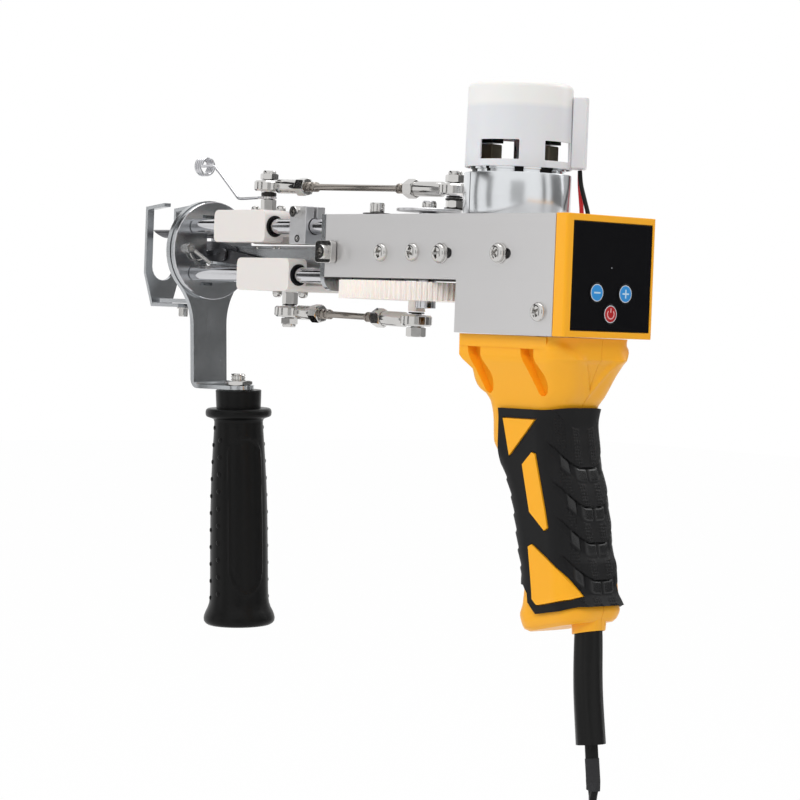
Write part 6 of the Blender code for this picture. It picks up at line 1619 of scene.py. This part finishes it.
def bar(middle_v, long, tall):
    """A rectangle on the key's face, its middle raised by some way."""
    return oblong_at(-long / 2, long / 2, middle_v - tall / 2, middle_v + tall / 2)


SIGNS = {
    "button_minus": (KEY_BLUE, SIGN_PRINT, [bar(0, 4.0, 0.72)]),
    "button_plus": (KEY_BLUE, SIGN_PRINT, [bar(0, 4.2, 0.72), bar(0, 0.8, 4.0)]),
    "button_power": (KEY_RED, ROSE_PRINT, [ring_part((0, 0), 2.35, 1.85, 138, 402, 20), bar(1.7, 0.5, 2.0)]),
}
for node_name, (surface, ink, signs) in SIGNS.items():
    low, high = box_mm(node_name)
    y, z = (low.y + high.y) / 2, (low.z + high.z) / 2
    parts = [
        turn("key", [(3.65, low.x)] + CROWN_ROWS, surface, 48, "X", (y, z)),
        turn("key_ring", RING_ROWS, PALE_PRINT, 48, "X", (y, z), ring=True),
        turn("key_rim", [(3.62, low.x), (4.62, low.x)] + RIM_ROWS, PANEL_FILM, 48, "X", (y, z), ring=True),
    ]
    for i, shape in enumerate(signs):
        parts.append(slab("sign", [(y + u, z + v) for u, v in shape], "X", 30.5, 30.66 + 0.005 * i, ink))
    stand_for(merge_pieces(f"{node_name}_printed", parts), node_name)
print("keys:", list(SIGNS))

# %% [markdown]
# ## The side handle
#
# The handle is a turned shape with two long oval panels and two columns of small nubs between them. The
# panels are rows of a fine grid, raised and sunk by the distance to their outline, which gives an even raised
# line; the nubs are one small dome that Geometry Nodes sets on every point of the columns.

# %% The handle's grid
STUD_X = -245.8
HANG = at(0, 0, 103.7) @ spun(math.radians(2.8), "X") @ at(0, 0, -103.7)
HANDLE_TOP = 30.4
HANDLE_LENGTH = 124.4
HANDLE_RADIUS = 18.9
HANDLE_BORE = 4.3
BORE_FLOOR = 12.1
HANDLE_ROWS = [
    # share of the length, share of the radius
    (0.000, 0.625), (0.003, 0.640), (0.040, 0.632), (0.078, 0.622), (0.0785, 0.865), (0.083, 0.905), (0.090, 0.922),
    (0.098, 0.925), (0.106, 0.918), (0.112, 0.895), (0.1155, 0.845), (0.119, 0.770), (0.124, 0.705), (0.134, 0.680),
    (0.160, 0.686), (0.230, 0.718), (0.300, 0.745), (0.400, 0.778), (0.520, 0.800), (0.680, 0.811), (0.840, 0.815),
    (0.885, 0.822), (0.910, 0.845), (0.930, 0.890), (0.948, 0.950), (0.962, 0.985), (0.975, 1.000), (0.986, 0.990),
    (0.994, 0.955), (1.000, 0.895),
]
PANEL_MIDDLES = (-22.0, 158.0)
PANEL_HALF = 9.4
PANEL_TOP = 0.200
PANEL_FOOT = 0.843
STEPS_ROUND = 132


def panel_edge(along, across):
    """How far a place lies outside a handle panel in millimetres, negative inside."""
    top, foot = PANEL_TOP * HANDLE_LENGTH, PANEL_FOOT * HANDLE_LENGTH
    across = abs(across)
    if along < top + PANEL_HALF:
        return math.hypot(across, along - top - PANEL_HALF) - PANEL_HALF
    if along < foot - 11:
        return across - PANEL_HALF
    return math.hypot(across + 14.5 - PANEL_HALF, along - foot + 11) - 14.5


def handle_reach(share, angle):
    """How far the handle's skin lies from its axis."""
    radius = along_table(HANDLE_ROWS, share) * HANDLE_RADIUS
    rise = 0.0
    for middle_deg in PANEL_MIDDLES:
        off = (math.degrees(angle) - middle_deg + 180) % 360 - 180
        if abs(off) < 70 and PANEL_TOP - 0.02 < share < PANEL_FOOT + 0.02:
            edge = panel_edge(share * HANDLE_LENGTH, math.radians(off) * radius)
            rise += 0.50 * math.exp(-((edge / 0.50) ** 2)) - 0.25 * (1 - ease(edge, -1.0, 0.2))
    return radius + rise


def handle_ring(z, reach):
    """A ring of points about the handle's axis."""
    angles = [2 * math.pi * i / STEPS_ROUND for i in range(STEPS_ROUND)]
    return [Vector((STUD_X + reach(a) * math.cos(a), reach(a) * math.sin(a), z)) for a in angles]


row_steps = []
for (a, _), (b, _) in zip(HANDLE_ROWS, HANDLE_ROWS[1:]):
    count = max(1, round((b - a) * HANDLE_LENGTH / 0.9))
    row_steps += [a + (b - a) * i / count for i in range(count)]
rings = []
for radius, z in ((AXIS_RADIUS, BORE_FLOOR), (HANDLE_BORE, BORE_FLOOR), (HANDLE_BORE, HANDLE_TOP)):
    rings.append(handle_ring(z, lambda angle: radius))
for share in row_steps + [1.0]:
    rings.append(handle_ring(HANDLE_TOP - share * HANDLE_LENGTH, lambda angle: handle_reach(share, angle)))
handle = laid(lofted("handle_moulding", rings, HARD_BLACK, 40), HANG)
stand_for(handle, "side_handle")
nubs = []
for middle_deg, first_share, count in ((-84, 0.210, 10), (-115, 0.161, 11), (96, 0.210, 10), (65, 0.161, 11)):
    out = Vector((math.cos(math.radians(middle_deg)), math.sin(math.radians(middle_deg)), 0))
    for k in range(count):
        share = first_share + 0.0725 * k
        reach = along_table(HANDLE_ROWS, share) * HANDLE_RADIUS - 0.25
        place = Vector((STUD_X, 0, HANDLE_TOP - share * HANDLE_LENGTH)) + out * reach
        nubs.append(((HANG @ (place * MM)) / MM, HANG.to_3x3() @ out, 0.0))
dome_rows = [(1.35, 0), (1.3, 0.35), (1.0, 0.68), (0.5, 0.84), (AXIS_RADIUS, 0.88)]
dome = turn("nub", dome_rows, HARD_BLACK, 20)
settle(spread("handle_nubs", dome, nubs, HARD_BLACK), "hand_lever", "black_plastic")
print(len(nubs), "nubs,", len(handle.data.polygons), "faces on the handle")

# %% The stud and the bracket
parts = stud_end(12.5, 39.1, 3.9, 1.25) + [laid(hex_head(13.0, 2.5), at(0, 0, 32.9) @ spun(0.15))]
stud = laid(merge_pieces("threaded_stud", parts), HANG @ at(STUD_X, 0, 0))
settle(stud, body_of["bracket_stud"], "bright_nut", "bracket_stud")
tongue = [(-268, -11.4), (-268, -20), (-225, -20), (-225, 20), (-268, 20), (-268, 11.4)]
tongue += arc((STUD_X, 0), 8.2, 80, -80, 16)
bend = [(-276, 28), (-268.6, 28)] + arc((-268.6, 35.7), 5, 270, 180, 9) + [(-276, 35.7)]
tools = [
    slab("tongue", tongue, "Z", 26, 38, PLATED),
    slab("over", oblong_at(-268.3, -225, -20, 20), "Z", 32.9, 36, PLATED),
    slab("bend", bend, "Y", -20, 20, PLATED),
]
bracket = carve(merged("bracket_bent", "handle_bracket", PLATED), *[laid(tool, HANG) for tool in tools])
carve(bracket, slab("slot", [(-6.6, 85.2), (0.8, 85.2), (0.8, 87.0), (-6.6, 86.9)], "X", -276, -262, PLATED))
stand_for(soften(bracket, 0.45), "handle_bracket")

# %% [markdown]
# ## Yarn guide, seals and small screws
#
# The yarn guide is one length of hard wire: it loops round the needle pillar, rises, and ends in an eye of
# close turns, so that a yarn can be slipped in without threading. The rest are bought parts: seals in the
# sliding blocks, socket screws in the clamps, and a bolt with a washer on the deck.

# %% The bent wire
GUIDE_Z = box_mm("yarn_guide")[0].z + 0.65
WRIST_X = -221.3
EYE = Vector((-274.6, 0, 148.6))
EYE_RADIUS = 4.4
EYE_PITCH = 1.75
EYE_TURNS = 3.6
EYE_STEPS = 18
knots = [(x, y, GUIDE_Z) for x, y in arc((WRIST_X, 0), 3.6, -40, 180, 11)]
knots += [
    (-227.4, -1.2, 131.6), (-231, -0.6, 131.5), (-238, 0, 131.4), (-245.2, 0, 131.3), (-247.4, 0, 131.7),
    (-248.9, 0, 132.7), (-252, 0, 135.2), (-259.5, 0, 141.2), (-266, 0, 146.3), (-269.4, -0.8, 148.8),
]
for i in range(round(EYE_TURNS * EYE_STEPS) + 1):
    angle = 2 * math.pi * i / EYE_STEPS
    turned = Vector((-EYE_PITCH * i / EYE_STEPS, -EYE_RADIUS * math.cos(angle), EYE_RADIUS * math.sin(angle)))
    knots.append(EYE + turned)
stand_for(wire("bent_wire_guide", knots, 0.9, 0.75, 12, POLISHED), "yarn_guide")
dress("needle", 0.05, surface=BLADE)
print("guide wire of", len(knots), "knots")

# %% Seals and screws
for block, body in (("needle_slider", "needle_carriage"), ("scissor_slider", "scissor_carriage")):
    low, high = box_mm(block)
    face, height = high.x, (low.z + high.z) / 2
    rows = [(4.15, face - 1), (5.45, face - 1), (5.45, face + 0.45), (5.15, face + 0.7)]
    rows += [(4.45, face + 0.7), (4.15, face + 0.45)]
    rings = [turn("seal", rows, RUBBER, 40, "X", (side * 12.3, height), ring=True) for side in (-1, 1)]
    settle(merge_pieces(f"{block}_seals", rings), body, "black_rubber")
LEFT = (0, -1, 0)


def stood(piece, place, axis, spin=0.0):
    """Stands a screw head on a place, pointing along an axis."""
    return laid(piece, at(*place) @ aimed(axis) @ spun(spin))


ledge = [slab("ledge", oblong_at(-252, -144.3, 104.6, 106.6), "Y", 2.4, 4.6, PLATED)]
for x in (-232.4, -218.0, -213.8):
    pip = turn("pip", [(1.0, 0), (0.8, 0.5), (AXIS_RADIUS, 0.7)], BRIGHT, 20)
    ledge.append(stood(pip, (x, 2.4, 105.6), LEFT))
settle(merge_pieces("bar_ledge", ledge), "chassis", slot_of["blade_bar"])
low, high = box_mm("front_disc")
x, middle = high.x, (low + high) / 2
bead_rows = [(25.2, x - 0.1), (25.3, x + 0.15), (25.7, x + 0.2), (26.0, x - 0.1), (26.0, x - 0.5)]
bead = turn("disc_rim", bead_rows, POLISHED, 120, "X", (middle.y, middle.z), ring=True)
settle(bead, "chassis", slot_of["front_disc"])
face = box_mm("rod_clamp")[0].y
grub = turn("grub", [(1.1, 0), (0.9, 0.2), (AXIS_RADIUS, 0.25)], BRIGHT, 20)
side_face = box_mm("side_clamp")[0].y + 0.5
SPRING_FOOT = Vector((-265.2, -14.2, 103.2))
SPRING_REACH = Vector((3.5, 8.2, -6.5))
HOOK = (
    (-265.4, -16.9, 102.4), (-265.6, -15.9, 100.4), (-265.6, -14.1, 98.7), (-265.2, -11.8, 98.4),
    (-264.8, -9.6, 98.9),
)
FOOT_BOLT = (-292.5, 0, 73.0)
SCREWS = {
    "rod_clamp_screws": ("chassis", [
        stood(cap_head(2.9, 4.0, 2.5), (-172.7, face, 122.9), LEFT, 0.4),
        stood(washer(1.9, 1.25, 0.3, HARD_BLACK), (-173.5, face + 0.1, 109.6), LEFT),
        stood(grub, (-173.5, face + 0.1, 109.6), LEFT),
    ]),
    "side_clamp_screw": ("chassis", [stood(cap_head(3.6, 4.0, 3.2), (-135.8, side_face, 102.6), LEFT, 0.2)]),
    "deck_bolt": ("chassis", [
        stood(washer(7.0, 2.2, 1.0, BLACK_OXIDE), (-116.2, -15, 121.2), (0, 0, 1)),
        stood(cap_head(3.6, 5.0, 3.0), (-116.2, -15, 122.2), (0, 0, 1), 0.6),
    ]),
    "shaft_end_screw": ("drive_shaft", [stood(cap_head(3.6, 3.2, 2.5), (-95, 0, 124.9), (0, 0, 1), 0.3)]),
    "disc_screw_and_spring": ("chassis", [
        stood(cap_head(2.75, 3.0, 2.5), (-267.3, -17.0, 104.2), (1, 0, 0), 0.1),
        coil("spring", 22, 0.85, SPRING_REACH.length, 0.27, BRIGHT, SPRING_FOOT, SPRING_REACH, 8, 16),
        wire("hook", HOOK, 0.5, 0.35, 8, BRIGHT),
    ]),
    "foot_bolt": (body_of["presser_foot"], [
        stood(cap_head(2.6, 5.0, 2.5), FOOT_BOLT, (0, 0, -1), 0.5),
        stood(washer(3.6, 2.2, 0.8), FOOT_BOLT, (0, 0, -1)),
    ]),
}
for name, (body, parts) in SCREWS.items():
    settle(merge_pieces(name, parts), body, "bright_nut")
print("screws in the head and the clamps are set")
